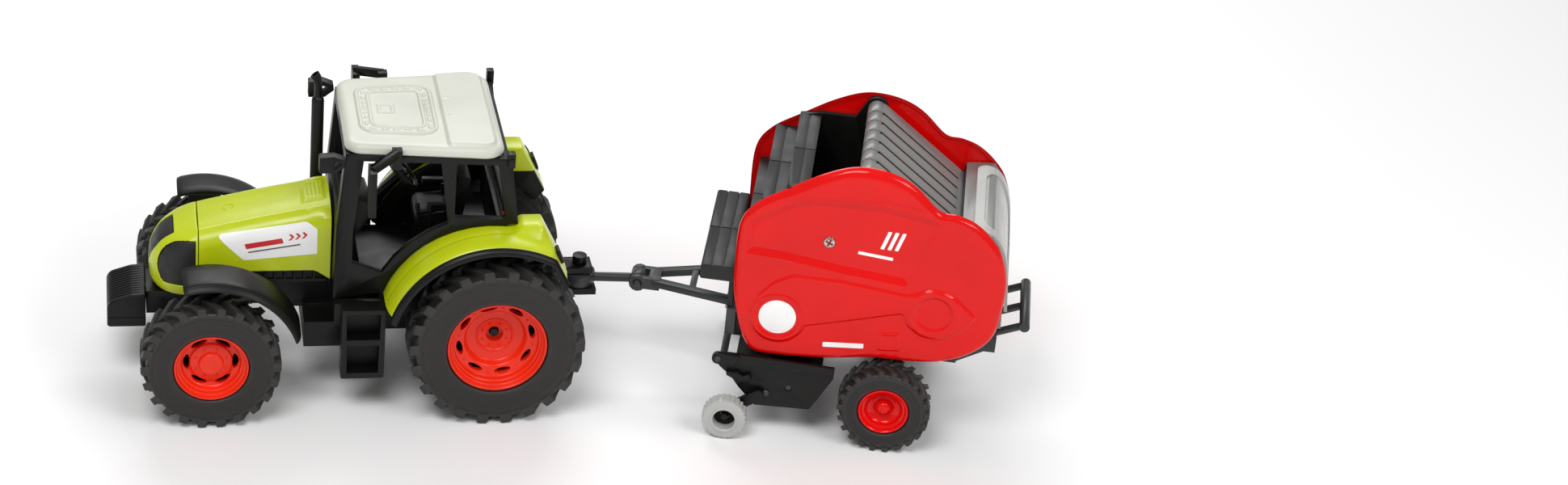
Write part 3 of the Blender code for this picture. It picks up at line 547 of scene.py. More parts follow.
def add_lug(bm, side, centre, middle, reach, radius, height, place):
    """One lug: it climbs the shoulder and runs slanting to the middle of the tread."""
    pitch = 2 * math.pi / LUGS
    base = radius - height
    scale = height / 3.4
    stations = [(1.0, base - 1.6 * scale, radius - 1.1 * scale, 0.44, 0.30, 0.0),
                (0.985, base - 1.7 * scale, radius - 0.5 * scale, 0.46, 0.33, 0.0),
                (0.92, base - 1.0 * scale, radius - 0.05, 0.46, 0.34, 0.02),
                (0.72, base - 0.4, radius, 0.42, 0.30, 0.16),
                (0.42, base - 0.2, radius, 0.38, 0.27, 0.48),
                (0.10, base - 0.1, radius - 0.1, 0.36, 0.25, 0.86),
                (0.02, base - 0.1, radius - 0.9 * scale, 0.34, 0.22, 0.94)]
    rings = []
    for along, low, top, foot, crest, swing in stations:
        y = side * (middle + reach * along)
        turn = (place + swing * 0.9) * pitch
        ring = []
        for r, shift in ((low, -foot), (low, foot), (top - 0.25, crest + 0.03), (top, crest - 0.02),
                         (top, 0.02 - crest), (top - 0.25, -0.03 - crest)):
            angle = turn + shift * pitch * 0.575
            ring.append(bm.verts.new((centre[0] + r * math.cos(angle), y, centre[1] + r * math.sin(angle))))
        rings.append(ring)
    for near, far in zip(rings, rings[1:]):
        for i in range(6):
            k = (i + 1) % 6
            bm.faces.new((near[i], near[k], far[k], far[i]))
    bm.faces.new(rings[0])
    bm.faces.new(rings[-1])


def on_circle(centre, radius, angle):
    return centre[0] + radius * math.cos(angle), centre[1] + radius * math.sin(angle)


def slots(side, centre, radius, count, long, short, near, far, phase):
    """Lens-shaped cutters set round a wheel disc, long the way the disc turns."""
    cutters = []
    for i in range(count):
        angle = 2 * math.pi * (i + phase) / count
        lens = [(long * math.sin(t), short * math.cos(t) * abs(math.cos(t)) ** 0.2)
                for t in (2 * math.pi * k / 16 for k in range(16))]
        outline = [on_circle(centre, radius + b, angle + a / radius) for a, b in lens]
        cutters.append(side_sheet(side, outline, near, far))
    return joined(cutters)


def bolts(side, centre, ring, count, size, foot, top, phase=0.5):
    """Small domed bolt heads on a circle."""
    profile = [(0.02, foot), (size, foot), (size, top - size * 0.6), (size * 0.7, top - size * 0.2),
               (0.02, top)]
    places = [on_circle(centre, ring, 2 * math.pi * (i + phase) / count) for i in range(count)]
    return [turned(profile, side, at, 12) for at in places]


def rim(prefix, side, word, outline, finish, cutters=(), heads=()):
    """Wheel disc and rim turned from an outline given from the lip inwards, on the outer face."""
    name = f"{prefix}_rim_{word}"
    obj = turned(outline, side, wheel_centre(name), 96)
    if cutters:
        obj = combine(obj, cut=cutters)
    if heads:
        obj = joined([obj, *heads])
    piece(obj, name + "_moulded", body_of(name), finish, (name,), sharp=38)


def rim_backing(prefix, side, word, radius, depth):
    """Dark inner disc that closes the wheel towards the axle."""
    name = f"{prefix}_rim_{word}"
    outline = [(2.8, depth + 1.0), (6.0, depth + 1.6), (radius, depth + 0.8), (radius, depth), (2.8, depth)]
    disc = turned(outline, side, wheel_centre(name), 48)
    piece(disc, f"{prefix}_wheel_backing_{word}", body_of(name), BLACK, sharp=40)


def front_rim(side, word):
    face = [(17.5, 57.3), (17.2, 57.8), (16.5, 57.9), (16.2, 57.4), (15.9, 56.0), (15.5, 55.7), (15.1, 55.5),
            (14.9, 53.9), (14.5, 53.6), (14.1, 53.4), (13.8, 52.0), (13.2, 51.2), (12.2, 50.9), (10.4, 50.9),
            (10.0, 51.2), (9.8, 51.9), (9.3, 52.2), (6.2, 52.3), (5.9, 52.4), (5.6, 53.8), (5.2, 54.2),
            (0.02, 54.3)]
    back = [(0.02, 51.0), (2.5, 51.0), (2.5, 41.5), (4.4, 41.5), (4.4, 48.4), (12.6, 48.6), (15.0, 48.4),
            (16.0, 39.4), (17.5, 39.4)]
    centre = wheel_centre("front_rim_" + word)
    cutters = [slots(side, centre, 11.5, 6, 4.2, 1.5, 47, 53.5, 0.0)]
    heads = bolts(side, centre, 7.6, 8, 0.62, 52.0, 52.9)
    rim("front", side, word, face + back, ORANGE, cutters, heads)
    rim_backing("front", side, word, 15.6, 43.0)


def rear_rim(side, word):
    face = [(24.1, 59.5), (23.7, 60.1), (22.9, 60.2), (22.5, 59.8), (22.2, 58.0), (21.9, 57.7), (21.5, 57.5),
            (21.3, 55.7), (21.0, 55.4), (20.6, 55.2), (20.4, 53.2), (20.0, 52.7), (19.4, 52.5), (16.0, 51.9),
            (15.2, 51.6), (14.7, 50.9), (14.2, 49.0), (13.6, 48.4), (9.4, 47.9), (9.1, 48.3), (8.6, 48.3),
            (8.3, 47.8), (7.8, 47.4), (4.6, 47.2), (4.2, 46.9), (4.0, 46.0), (3.8, 44.2)]
    back = [(2.5, 44.2), (2.5, 38.6), (5.2, 38.6), (6.2, 44.0), (19.8, 49.6), (22.6, 39.0), (24.1, 39.0)]
    centre = wheel_centre("rear_rim_" + word)
    cutters = [slots(side, centre, 17.7, 8, 4.1, 1.5, 46, 57, 0.3)]
    heads = bolts(side, centre, 6.1, 8, 0.62, 47.0, 47.9)
    heads += bolts(side, centre, 17.9, 8, 0.5, 52.0, 52.7, 0.8)
    rim("rear", side, word, face + back, ORANGE, cutters, heads)
    rim_backing("rear", side, word, 22.0, 40.5)


def baler_rim(side, word):
    inner, out = side_span("baler_rim_" + word)
    radius = wheel_radius("baler_rim_" + word)
    face = [(radius, out - 0.7), (radius - 0.4, out - 0.1), (radius - 1.1, out), (radius - 1.6, out - 0.5),
            (radius - 2.0, out - 1.8), (radius - 2.6, out - 2.2), (radius - 3.1, out - 2.5),
            (radius - 3.6, out - 4.2), (radius - 4.6, out - 5.0), (6.4, out - 5.8), (5.4, out - 6.2),
            (4.4, out - 5.9), (3.8, out - 5.2), (3.5, out - 3.9), (2.9, out - 2.9), (1.9, out - 2.3),
            (0.02, out - 2.1)]
    back = [(0.02, out - 6.5), (2.5, out - 6.5), (2.5, inner), (4.2, inner), (4.4, out - 7.6),
            (radius - 3.4, out - 7.4), (radius - 1.5, inner + 0.4), (radius, inner + 0.4)]
    rim("baler", side, word, face + back, RED)


def gauge_wheel(side, word):
    """Small grey wheel with a ribbed tread and a deep open hub."""
    name = "gauge_wheel_" + word
    inside, outside = side_span(name)
    radius = wheel_radius(name)
    centre = wheel_centre(name)
    profile = [(5.4, outside - 0.4), (5.8, outside), (6.6, outside), (6.9, outside - 0.45),
               (9.4, outside - 0.5), (10.2, outside - 0.8), (radius - 0.5, outside - 1.6),
               (radius - 0.5, inside + 1.6), (10.2, inside + 0.8), (6.5, inside + 0.4), (2.3, inside + 0.4),
               (2.3, inside + 2.4), (5.4, inside + 2.6)]
    parts = [turned(profile, side, centre, 72)]
    ribs = 26
    for i in range(ribs):
        x, z = on_circle(centre, radius - 0.75, 2 * math.pi * i / ribs)
        parts.append(rod((x, side * (inside + 1.2), z), (x, side * (outside - 1.2), z), 0.72, 10))
    piece(joined(parts), name + "_ribbed", body_of(name), LIGHT_GREY, (name,), sharp=38)
    # Painted shade: a black disc at the bottom of the deep hub, round the black axle, darkens the hole.
    well = turned([(2.4, inside + 2.8), (3.4, inside + 3.6), (5.3, inside + 3.0), (5.3, inside + 2.7),
                   (2.4, inside + 2.7)], side, centre, 40)
    piece(well, "gauge_hub_shade_disc_" + word, body_of(name), BLACK, sharp=40)


# ---------------------------------------------------------------- tractor body

SEAM_X = -5.0                  # where the nose meets the hood
HOOD_END = 57.0


def bulge(x, middle, reach):
    """A smooth hump of height one around the middle."""
    t = min(1.0, abs(x - middle) / reach)
    return (1 - t * t) ** 2


def ramp(x, start, end):
    t = min(1.0, max(0.0, (x - start) / (end - start)))
    return t * t * (3 - 2 * t)


def hood_half(x):
    """Half cross-section of the hood at x, from the top centre to the lower edge."""
    crest = 84.2 + 0.247 * x - 0.0007 * x * x
    vent = 1.3 * ramp(x, 43.5, 45.0) * (1 - ramp(x, 53.5, 55.0))
    flare = 1.3 * ramp(x, 46, HOOD_END)
    rise = 0.9 * bulge(x, 52, 8)
    lower = 63.5 - max(0.0, x - 50) * 0.65
    return [(0, crest + 1.1 + vent), (4, crest + 1.05 + vent), (8.2, crest + 0.9 + vent), (9.2, crest + 0.75),
            (11.5, crest + 0.5), (13.3, crest + 0.1), (13.7, crest - 0.32), (14.2, crest - 0.2),
            (15.6, crest - 0.8 + rise), (17.6 + flare * 0.5, crest - 2.2 + rise),
            (19.2 + flare, crest - 4.1 + rise * 0.5), (19.9 + flare, crest - 6.0), (20.3 + flare, crest - 7.4),
            (20.35 + flare, crest - 8.0), (20.6 + flare * 0.9, crest - 10), (20.8 + flare * 0.7, crest - 14),
            (20.7 + flare * 0.5, lower + 3), (20.6 + flare * 0.4, lower + 0.5), (20.2 + flare * 0.4, lower)]


def hood():
    stations = [SEAM_X + 0.3, SEAM_X + 0.5] + [SEAM_X + 2 + 1.9 * i for i in range(25)]
    stations += [43.4, 44.2, 45.2, 47, 49, 51, 53, 54, 55.2, 56.4, HOOD_END]
    bm = bmesh.new()
    grid = []
    for x in sorted(stations):
        half = hood_half(x)
        drop = 0.35 if x == SEAM_X + 0.3 else 0.0
        row = [(x, -y + math.copysign(drop, y), z - drop) for y, z in reversed(half)]
        row += [(x, y - drop, z - drop) for y, z in half[1:]]
        grid.append([bm.verts.new(p) for p in row])
    for near, far in zip(grid, grid[1:]):
        for i in range(len(near) - 1):
            bm.faces.new((near[i], near[i + 1], far[i + 1], far[i]))
    bmesh.ops.recalc_face_normals(bm, faces=bm.faces)
    obj = settled(bm)
    if obj.data.polygons[len(obj.data.polygons) // 2].normal.z < 0:
        obj.data.flip_normals()
    shell = obj.modifiers.new("Shell", "SOLIDIFY")
    shell.thickness = 1.5
    shell.offset = -1
    shell.use_even_offset = True
    obj = combine(evaluated(obj), cut=[vent(46.2 + 1.9 * i) for i in range(4)])
    piece(joined([obj, filler_cap()]), "hood_shell", "tractor", LIME, ("hood",), sharp=24)


def vent(x):
    """Cutter for one shallow slot across the hood's raised rear panel."""
    top = hood_half(x + 0.45)[0][1]
    return box((x, x + 0.9), (-6.4, 6.4), (top - 0.55, top + 1))


def filler_cap():
    """Round slotted cap that lies along the hood's slope."""
    crest, pitch = 87.42, 0.235         # height and slope of the hood under the cap
    profile = [(2.9, crest - 1), (2.9, crest + 0.15), (2.6, crest + 0.45), (2.1, crest + 0.45),
               (1.9, crest + 0.1), (0.02, crest + 0.05), (0.02, crest - 1)]
    rings = []
    for i in range(32):
        c, s = on_circle((0, 0), 1, 2 * math.pi * i / 32)
        rings.append([(9.5 + r * c, r * s, z + pitch * r * c) for r, z in profile])
    bm = loft(rings + [rings[0]], cap=False)
    bmesh.ops.remove_doubles(bm, verts=bm.verts, dist=0.05)
    return combine(from_bmesh(bm), cut=[box((6.2, 12.8), (-0.5, 0.5), (crest - 0.2, crest + 3))])


def sticker(side, word):
    """White label on the hood's side with plain marks in place of lettering."""
    outline = rounded([(3.4, 82.6, 1.2), (45.5, 89.8, 2.8), (50.6, 86.5, 2), (50.6, 73.0, 0.8),
                       (16.2, 69.9, 3)], 6)
    piece(label_sheet(side, outline, 0.0, 0.14), "side_label_" + word, "tractor", STICKER)
    for name, finish, shape in label_marks():
        piece(label_sheet(side, shape, 0.12, 0.08), f"{name}_{word}", "tractor", finish)


def label_marks():
    """Generic decoration: a slanted red bar, a thin grey line and three small chevrons."""
    marks = [("label_bar", INK, [(16.5, 78.6), (34.0, 81.6), (34.8, 79.0), (17.3, 76.0)]),
             ("label_line", INK_GREY, [(18.2, 74.6), (42.6, 78.6), (42.8, 77.9), (18.4, 73.9)])]
    for i in range(3):
        x = 37.2 + 3.1 * i
        z = 81.9 + 0.5 * i
        chevron = [(x, z + 1.6), (x + 1.2, z + 1.8), (x + 2.6, z + 0.4), (x + 1.0, z - 1.4), (x - 0.2, z - 1.6),
                   (x + 1.3, z + 0.2)]
        marks.append((f"label_chevron_{i}", INK, chevron))
    return marks


def hood_side_y(x, z):
    """Half width of the hood's outer skin at a point on its side."""
    half = hood_half(x)
    for (y0, z0), (y1, z1) in zip(half, half[1:]):
        if z1 <= z <= z0:
            return y0 + (y1 - y0) * (z0 - z) / max(1e-6, z0 - z1)
    return half[-1][0]


def label_sheet(side, outline, proud, thickness):
    """A thin sheet laid on the hood's side, cut into strips so that it follows the curve."""
    bm = taken(side_sheet(side, outline, 30, 30.4))
    for i in range(60):
        score(bm, (i, 0, 0), (1, 0, 0))
    for i in range(24):
        score(bm, (0, 0, 68 + i), (0, 0, 1))
    for v in bm.verts:
        outer = abs(v.co.y) > 30.2
        v.co.y = side * (hood_side_y(v.co.x, v.co.z) + proud + (thickness if outer else -0.06))
    return from_bmesh(bm)


NOSE_LEVELS = [(50, -25.4, 19.0), (52, -26.6, 19.8), (55, -27.4, 20.2), (62, -27.9, 20.6), (68, -27.2, 20.6),
               (73.5, -24.6, 20.4), (76.7, -21.4, 19.8), (79.2, -17.4, 18.8), (81.4, -11.5, 16.6),
               (83.0, SEAM_X - 1.2, 14)]


def nose_form(inset=0.0):
    """The nose's full rounded form, or one drawn in by a little all round."""
    power = 2 / 2.3
    columns = 40
    rings = []
    for z, front, half in smooth(NOSE_LEVELS, 4):
        ring = []
        for i in range(columns + 1):
            angle = math.pi * i / columns - math.pi / 2
            x = SEAM_X + (front + inset - SEAM_X) * max(0.0, math.cos(angle)) ** power
            y = (half - inset) * math.copysign(abs(math.sin(angle)) ** power, math.sin(angle))
            ring.append((x, y, z - inset * (z > 70)))
        rings.append(ring)
    return from_bmesh(loft(rings))


def front_plug(play):
    outline = rounded([(0, 55.4 - play, 0.6), (3.8 + play, 60.5, 3), (8.6 + play, 72, 6), (9.8 + play, 86, 0),
                       (-9.8 - play, 86, 0), (-8.6 - play, 72, 6), (-3.8 - play, 60.5, 3)])
    return sheet(outline, "X", -32, -16.2 + play)


def side_plug(side, play):
    brow = smooth([(-21.8 - play, 57.0), (-23.4 - play, 62.5), (-23.0 - play, 68), (-20.6 - play, 73 + play),
                   (-16.4, 76.8 + play), (-11.4, 78.5 + play), (-6.4 + play, 79.0 + play)], 5)
    outline = [(-6.4 + play, 55.6 - play), (-20.6, 55.9 - play)] + brow
    return side_sheet(side, outline, 10.4 - play, 25)


def nose():
    cuts = [front_plug(0.25), side_plug(LEFT, 0.25), side_plug(RIGHT, 0.25)]
    cuts += [box((-34, -20), (-30, 30), (55.0, 55.5))]
    cowl = remeshed(combine(nose_form(), cut=cuts), 0.3, 3, 0.35)
    piece(cowl, "nose_shell", "tractor", LIME, ("nose_cowl",), sharp=60)
    for name, plug in (("grille_front", front_plug(-0.1)), ("grille_left", side_plug(LEFT, -0.1)),
                       ("grille_right", side_plug(RIGHT, -0.1))):
        insert = combine(nose_form(0.35), common=[plug])
        piece(insert, name + "_insert", "tractor", GRILLE, (name,), sharp=40)


def front_weight():
    """Nose ballast: a block with a rounded top, ribbed from back to front above a plain foot."""
    low, high = local_box("front_weight")
    x0, x1 = low[0], high[0]
    outline = rounded([(x0, low[2], 1.5), (x1, low[2], 0.8), (x1, high[2], 0.8),
                       (x0 + 11.4, high[2] - 0.4, 7), (x0, high[2] - 4.2, 5)])
    middle = Vector(((x0 + x1) / 2, (low[2] + high[2]) / 2))
    seam = high[2] - 11.8

    def ring(y, inset, groove):
        points = []
        for a, b in outline:
            point = Vector((a, b))
            depth = inset + groove * ramp(b, seam, seam + 0.6) * (1 - ramp(a, x1 - 1.6, x1 - 1.0))
            point -= (point - middle).normalized() * depth
            points.append((point.x, y, point.y))
        return points

    half = high[1]
    rings = [ring(-half, 0.9, 0), ring(-half + 0.25, 0.35, 0), ring(-half + 0.8, 0, 0)]
    count = 12
    step = 2 * (half - 2.2) / count
    for i in range(count):
        y = -half + 2.2 + (i + 0.5) * step
        rings += [ring(y - 0.55, 0, 0), ring(y - 0.4, 0, 0.55), ring(y + 0.4, 0, 0.55), ring(y + 0.55, 0, 0)]
    rings += [ring(half - 0.8, 0, 0), ring(half - 0.25, 0.35, 0), ring(half, 0.9, 0)]
    block = from_bmesh(loft(rings))
    seams = [box((x0 - 2, x1 - 1), (side * (half - 0.3), side * (half + 1)), (seam - 0.7, seam))
             for side in (LEFT, RIGHT)]
    piece(combine(block, cut=seams), "front_weight_ribbed", "tractor", BLACK, ("front_weight",), sharp=24)


def exhaust():
    """Exhaust stack: a sleeve with a seam ring, a thinner neck and a slanting tip."""
    low, high = local_box("exhaust_pipe")
    x, y = high[0] - 3.6, (low[1] + high[1]) / 2
    route = [((x, y, low[2]), 3.6), ((x, y, 61.6), 3.6), ((x, y, 62.4), 3.0), ((x, y, 84), 3.0),
             ((x, y, 84.2), 2.75), ((x, y, 84.8), 2.75), ((x, y, 85), 3.0), ((x, y, 131.6), 3.0),
             ((x, y, 133.0), 2.7), ((x, y, 133.8), 1.95), ((x + 0.1, y, 139), 1.9), ((x, y, 141), 2.0),
             ((x - 0.7, y, 143.6), 2.15), ((x - 1.9, y, 145.5), 2.2)]
    rings = []
    turns = [2 * math.pi * k / 32 for k in range(32)]
    for (a, b, c), r in route:
        tilt = 0.5 * ramp(c, 139, 147)
        rings.append([(a + r * math.cos(t) * math.cos(tilt), b + r * math.sin(t),
                       c + r * math.cos(t) * math.sin(tilt) * 1.6) for t in turns])
    mouth = rod((x - 0.8, y, 143.9), (x - 3.4, y, 150), 1.55)
    pipe = combine(from_bmesh(loft(rings)), cut=[mouth])
    piece(pipe, "exhaust_stack", "tractor", BLACK, ("exhaust_pipe",), bevel=0.2, sharp=35)


# ---------------------------------------------------------------- fenders

REAR_AXLE = wheel_centre("rear_rim_left")
FRONT_AXLE = wheel_centre("front_rim_left")
ARCH, WELL = 55.7, 52.5                # outer and inner radius of the rear fender's arch
HOUSING_TOP = 100.7
TAIL_TOP, TAIL_TIP = (154.6, HOUSING_TOP), (166.6, 77.4)
LIME_FROM_X, LIME_FROM_Z = 141, 88     # the fender's inner wall is lime only behind and above these


def fender_top(angle):
    """Outer radius of the rear fender: an arch, then a flat-topped lamp housing with a sloping tail."""
    turn = math.radians(angle)
    if angle > 90:
        return ARCH
    flat = (HOUSING_TOP - REAR_AXLE[1]) / math.sin(turn)
    x0, z0 = TAIL_TOP[0] - REAR_AXLE[0], TAIL_TOP[1] - REAR_AXLE[1]
    dx, dz = TAIL_TIP[0] - TAIL_TOP[0], TAIL_TIP[1] - TAIL_TOP[1]
    tail = (x0 * dz - z0 * dx) / (math.cos(turn) * dz - math.sin(turn) * dx)
    housing = min(flat, tail)
    if angle < 66:
        return housing
    return ARCH + (housing - ARCH) * (1 - ramp(angle, 78.5, 84.5))


def rear_fender(side, word):
    angles = [46.6 + 1.1 * i for i in range(42)] + [93 + 2.3 * i for i in range(30)] + [161.5]
    sections = []
    for angle in sorted(angles):
        top = fender_top(angle)
        outer = min(ARCH, top)
        under = min(WELL, top - 1.5)
        inner = min(41.0, top - 8)
        lift = max(0.0, top - ARCH)
        ring = [(33.0, inner), (33.0, top - 1.4), (33.4, top - 0.5), (34.4, top - 0.05), (41, top),
                (45.6, top - 0.05), (46.8, top - 0.4 - lift * 0.12), (47.8, outer + lift * 0.6),
                (49.4, outer - 0.3 + lift * 0.16), (51.4, outer - 0.55), (53.6, outer - 0.95),
                (55.8, outer - 1.6), (57.0, outer - 2.2), (57.3, outer - 2.7), (57.2, min(52.7, under + 0.2)),
                (56.8, under), (35.2, under), (35.0, min(52.2, under - 0.2)), (35.0, inner)]
        sections.append((angle, ring))
    bm = taken(arch(side, REAR_AXLE, sections))
    score(bm, (LIME_FROM_X, 0, 0), (1, 0, 0))
    score(bm, (0, 0, LIME_FROM_Z), (0, 0, 1))
    fender = piece(settled(bm), "rear_fender_shell_" + word, "tractor", LIME, ("rear_fender_" + word,),
                   sharp=38)
    second_finish(fender, BLACK, TRACTOR, lambda at, facing:
                  abs(at.y) < 35.2 and (at.z < LIME_FROM_Z or at.x < LIME_FROM_X))
    lens = rounded([(160.6, 88.6, 0.6), (163.6, 82.2, 0.6), (165.0, 83.2, 0.6), (162.0, 90.4, 0.6)])
    piece(side_sheet(side, lens, 44.6, 50.5, edge=0.25), "tail_lamp_" + word, "tractor", BLACK, sharp=35)
    lip = [(35.3, 52.2), (57.4, 52.2), (57.7, 52.6), (57.6, 53.5), (58.2, 53.5), (59.2, 53.0), (60.1, 52.0),
           (60.4, 51.2), (60.3, 50.3), (59.9, 49.9), (59.2, 50.1), (58, 50.7), (57, 50.9), (35.3, 50.6)]
    steps = []
    for i in range(61):
        angle = 165 - 120 * i / 60
        drop = max(0.0, WELL - min(WELL, fender_top(angle) - 1.5)) if angle < 70 else 0.0
        steps.append((angle, [(y, r - drop) for y, r in lip]))
    piece(arch(side, REAR_AXLE, steps), "fender_lip_shell_" + word, "tractor", BLACK, ("fender_lip_" + word,),
          bevel=0.25, sharp=50)


def front_fender(side, word):
    """Front fender: a curved band with two raised lines along its outer edge, on a bracket plate."""
    top = 44.4
    ring = [(35.8, top - 1.8), (35.8, top - 0.5), (36.3, top - 0.1), (42, top), (50, top - 0.1),
            (53, top - 0.4), (54.6, top - 0.8), (54.9, top - 1.1), (55.2, top - 0.95), (55.9, top - 1.3),
            (56.2, top - 1.65), (56.5, top - 1.55), (57.2, top - 2.1), (57.6, top - 2.8), (57.5, top - 3.3),
            (57.1, top - 3.3), (55.4, top - 2.3), (45, top - 1.7)]
    sections = []
    for i in range(46):
        angle = 107.4 - 90 * i / 45
        end = min(107.4 - angle, angle - 17.4)
        tuck = 0.7 * (1 - ramp(end, 0, 1.6))
        narrow = 1 - tuck * 0.03
        section = [(45 + (y - 45) * narrow, r - tuck * 0.5 * (r > top - 1.7)) for y, r in ring]
        sections.append((angle, section))
    band = arch(side, FRONT_AXLE, sections)
    stem = rounded([(-5, 27.5, 2), (5, 27.5, 2), (8, 75.2, 0), (-8, 75.2, 0)])
    band = joined([band, side_sheet(side, stem, 35.4, 37.4, edge=0.3)])
    piece(band, "front_fender_shell_" + word, "front_axle", BLACK, ("front_fender_" + word,), sharp=40)


# ---------------------------------------------------------------- roof

def relief(outline, centre, round_edge, top, height, rings):
    """A plate with a rounded border and a raised pattern, as a star-shaped net of rings.

    The outline and centre lie in the plate's own plane. height(points) gives how far the face stands out.
    The result is the list of rings from the border inwards, and the hub point that closes them.
    """
    edge = np.array(outline)
    middle = np.array(centre)
    ray = edge - middle
    length = np.linalg.norm(ray, axis=1)[:, None]
    unit = ray / length
    stack = []
    for k in range(7):
        angle = math.pi / 2 * k / 6
        inset = round_edge * (1 - math.cos(angle))
        drop = round_edge * (1 - math.sin(angle))
        stack.append(np.hstack([edge - unit * inset, np.full((len(edge), 1), top - drop)]))
    start = edge - unit * round_edge
    for k in range(1, rings):
        share = 1 - k / rings
        stack.append(np.hstack([middle + (start - middle) * share, np.full((len(edge), 1), top)]))
    for layer in stack:
        border = np.linalg.norm(layer[:, :2] - edge, axis=1)
        fade = np.clip((border - round_edge * 0.6) / (round_edge * 0.8 + 0.01), 0, 1)
        layer[:, 2] += height(layer[:, :2]) * fade
    hub = np.array([centre[0], centre[1], top + height(np.array([centre]))[0]])
    return stack, hub


def backing(outline, centre, steps):
    """Rings for a relief's wall and back, from (inset, level) steps."""
    ray = outline - np.array(centre)
    unit = ray / np.linalg.norm(ray, axis=1)[:, None]
    return [np.hstack([outline - unit * inset, np.full((len(outline), 1), level)]) for inset, level in steps]


def relief_solid(stack, hub, back, turn):
    """Close a relief with a straight wall and a back given as further rings, and stand it up with turn."""
    bm = bmesh.new()
    layers = [[bm.verts.new(turn(*p)) for p in ring] for ring in list(reversed(back)) + stack]
    for near, far in zip(layers, layers[1:]):
        count = len(near)
        for i in range(count):
            k = (i + 1) % count
            bm.faces.new((near[i], near[k], far[k], far[i]))
    tip = bm.verts.new(turn(*hub))
    last = layers[-1]
    for i in range(len(last)):
        bm.faces.new((last[i], last[(i + 1) % len(last)], tip))
    bm.faces.new(layers[0])
    return from_bmesh(bm)


def even(outline, count):
    """Points at even steps along a closed outline."""
    points = np.array(list(outline) + [outline[0]])
    steps = np.r_[0, np.cumsum(np.linalg.norm(np.diff(points, axis=0), axis=1))]
    at = np.linspace(0, steps[-1], count, endpoint=False)
    return np.stack([np.interp(at, steps, points[:, k]) for k in (0, 1)], axis=1)


def ease(value, low, high):
    t = np.clip((value - low) / (high - low), 0, 1)
    return t * t * (3 - 2 * t)


def distance_to(outline, points):
    """Signed distance from points to a closed outline, positive inside."""
    poly = np.array(outline)
    nxt = np.roll(poly, -1, axis=0)
    best = np.full(len(points), 1e9)
    inside = np.zeros(len(points), bool)
    for a, b in zip(poly, nxt):
        ab = b - a
        t = np.clip(((points - a) @ ab) / (ab @ ab), 0, 1)
        best = np.minimum(best, np.linalg.norm(points - (a + t[:, None] * ab), axis=1))
        cross = ((a[1] > points[:, 1]) != (b[1] > points[:, 1]))
        with np.errstate(divide="ignore", invalid="ignore"):
            inside ^= cross & (points[:, 0] < (b[0] - a[0]) * (points[:, 1] - a[1]) / (b[1] - a[1]) + a[0])
    return np.where(inside, best, -best)


def roof_height(points):
    """Crown, raised rear half, and the hatch's ring, dashes and square."""
    x, y = points[:, 0], points[:, 1]
    crown = 0.5 * (1 - (y / 42.0) ** 2)
    rear = rounded([(109, -37.5, 3), (131.5, -39, 5), (131.5, 39, 5), (109, 37.5, 3)])
    raised = 1.6 * ease(distance_to(rear, points), -0.8, 1.0)
    ring = distance_to(rounded([(69, -23.5, 8), (106, -26.5, 8), (106, 26.5, 8), (69, 23.5, 8)]), points)
    rim_line = 1.1 * ease(ring, -0.3, 0.5) - 0.9 * ease(ring, 1.5, 2.1)
    inner = distance_to(rounded([(74.5, -18, 5), (100.5, -20.5, 5), (100.5, 20.5, 5), (74.5, 18, 5)]), points)
    inner_line = 0.8 * (ease(inner, -0.5, 0.1) - ease(inner, 1.1, 1.7))
    along = np.arctan2(y, x - 88) * 26 / np.pi
    dash = 0.7 * (ease(ring, 2.7, 3.2) - ease(ring, 4.3, 4.8)) * (ease(np.sin(along * 3.1), -0.2, 0.2))
    square = distance_to([(79, -4.5), (86.5, -4.5), (86.5, 4.5), (79, 4.5)], points)
    square_line = 0.6 * (ease(square, -0.5, 0.1) - ease(square, 1.0, 1.6))
    small = 0.3 * bump_at(points, 112.5, 9.5, 1.0) + 0.3 * bump_at(points, 112.5, -9.5, 1.0)
    return crown + np.maximum(raised, 0) + rim_line + inner_line + dash + square_line + small


def bump_at(points, x, y, size):
    gap = np.linalg.norm(points - np.array([x, y]), axis=1)
    return ease(size - gap, -0.4, 0.4)


def roof():
    low, high = local_box("roof")
    plan = rounded([(low[0], -35.2, 8), (high[0], -42.6, 9), (high[0], 42.6, 9), (low[0], 35.2, 8)], 10)
    outline = even(plan, 420)
    top = 138.8
    stack, hub = relief(outline, (99, 0), 3.2, top, roof_height, 96)
    back = backing(outline, (99, 0), ((0.0, top - 3.4), (0.0, low[2] + 0.5), (0.5, low[2]), (2.2, low[2]),
                                      (2.4, low[2] + 2.0)))
    obj = relief_solid(stack, hub, back, lambda u, v, w: (u, v, w))
    piece(obj, "roof_shell", "tractor", ROOF_WHITE, ("roof",), sharp=50)


# ---------------------------------------------------------------- engine, cab and fittings

def cab_details():
    """Engine ribs, treads, levers, seat cushions and other small mouldings."""
    for side, word in SIDES:
        ribs = [box((3 + 4.6 * i, 4.4 + 4.6 * i), (side * 15.6, side * 17.2), (57, 68)) for i in range(11)]
        ribs.append(box((2, 56), (side * 15.6, side * 16.8), (55.2, 57)))
        piece(joined(ribs), "engine_ribs_" + word, "tractor", BLACK, bevel=0.25)
        step(side, word)
    levers = []
    foot = 78.2
    for x, y, lean in ((100, -16, -0.1), (104, -17.5, 0.0), (100, 16, -0.1)):
        levers.append(rod((x, y, foot), (x + lean * 20, y, foot + 17), 0.6, 12))
        levers.append(rod((x + lean * 20, y, foot + 16), (x + lean * 20, y, foot + 19), 1.3, 16, 1.0))
    piece(joined(levers), "control_levers", "tractor", BLACK, bevel=0.2)
    pads = [cushion((98.6, 114.2), (-9.6, 9.6), (87.2, 90.2)),
            cushion((113.4, 116.6), (-9.2, 9.2), (91.5, 108))]
    piece(joined(pads), "seat_pads", "tractor", DARK, sharp=60)


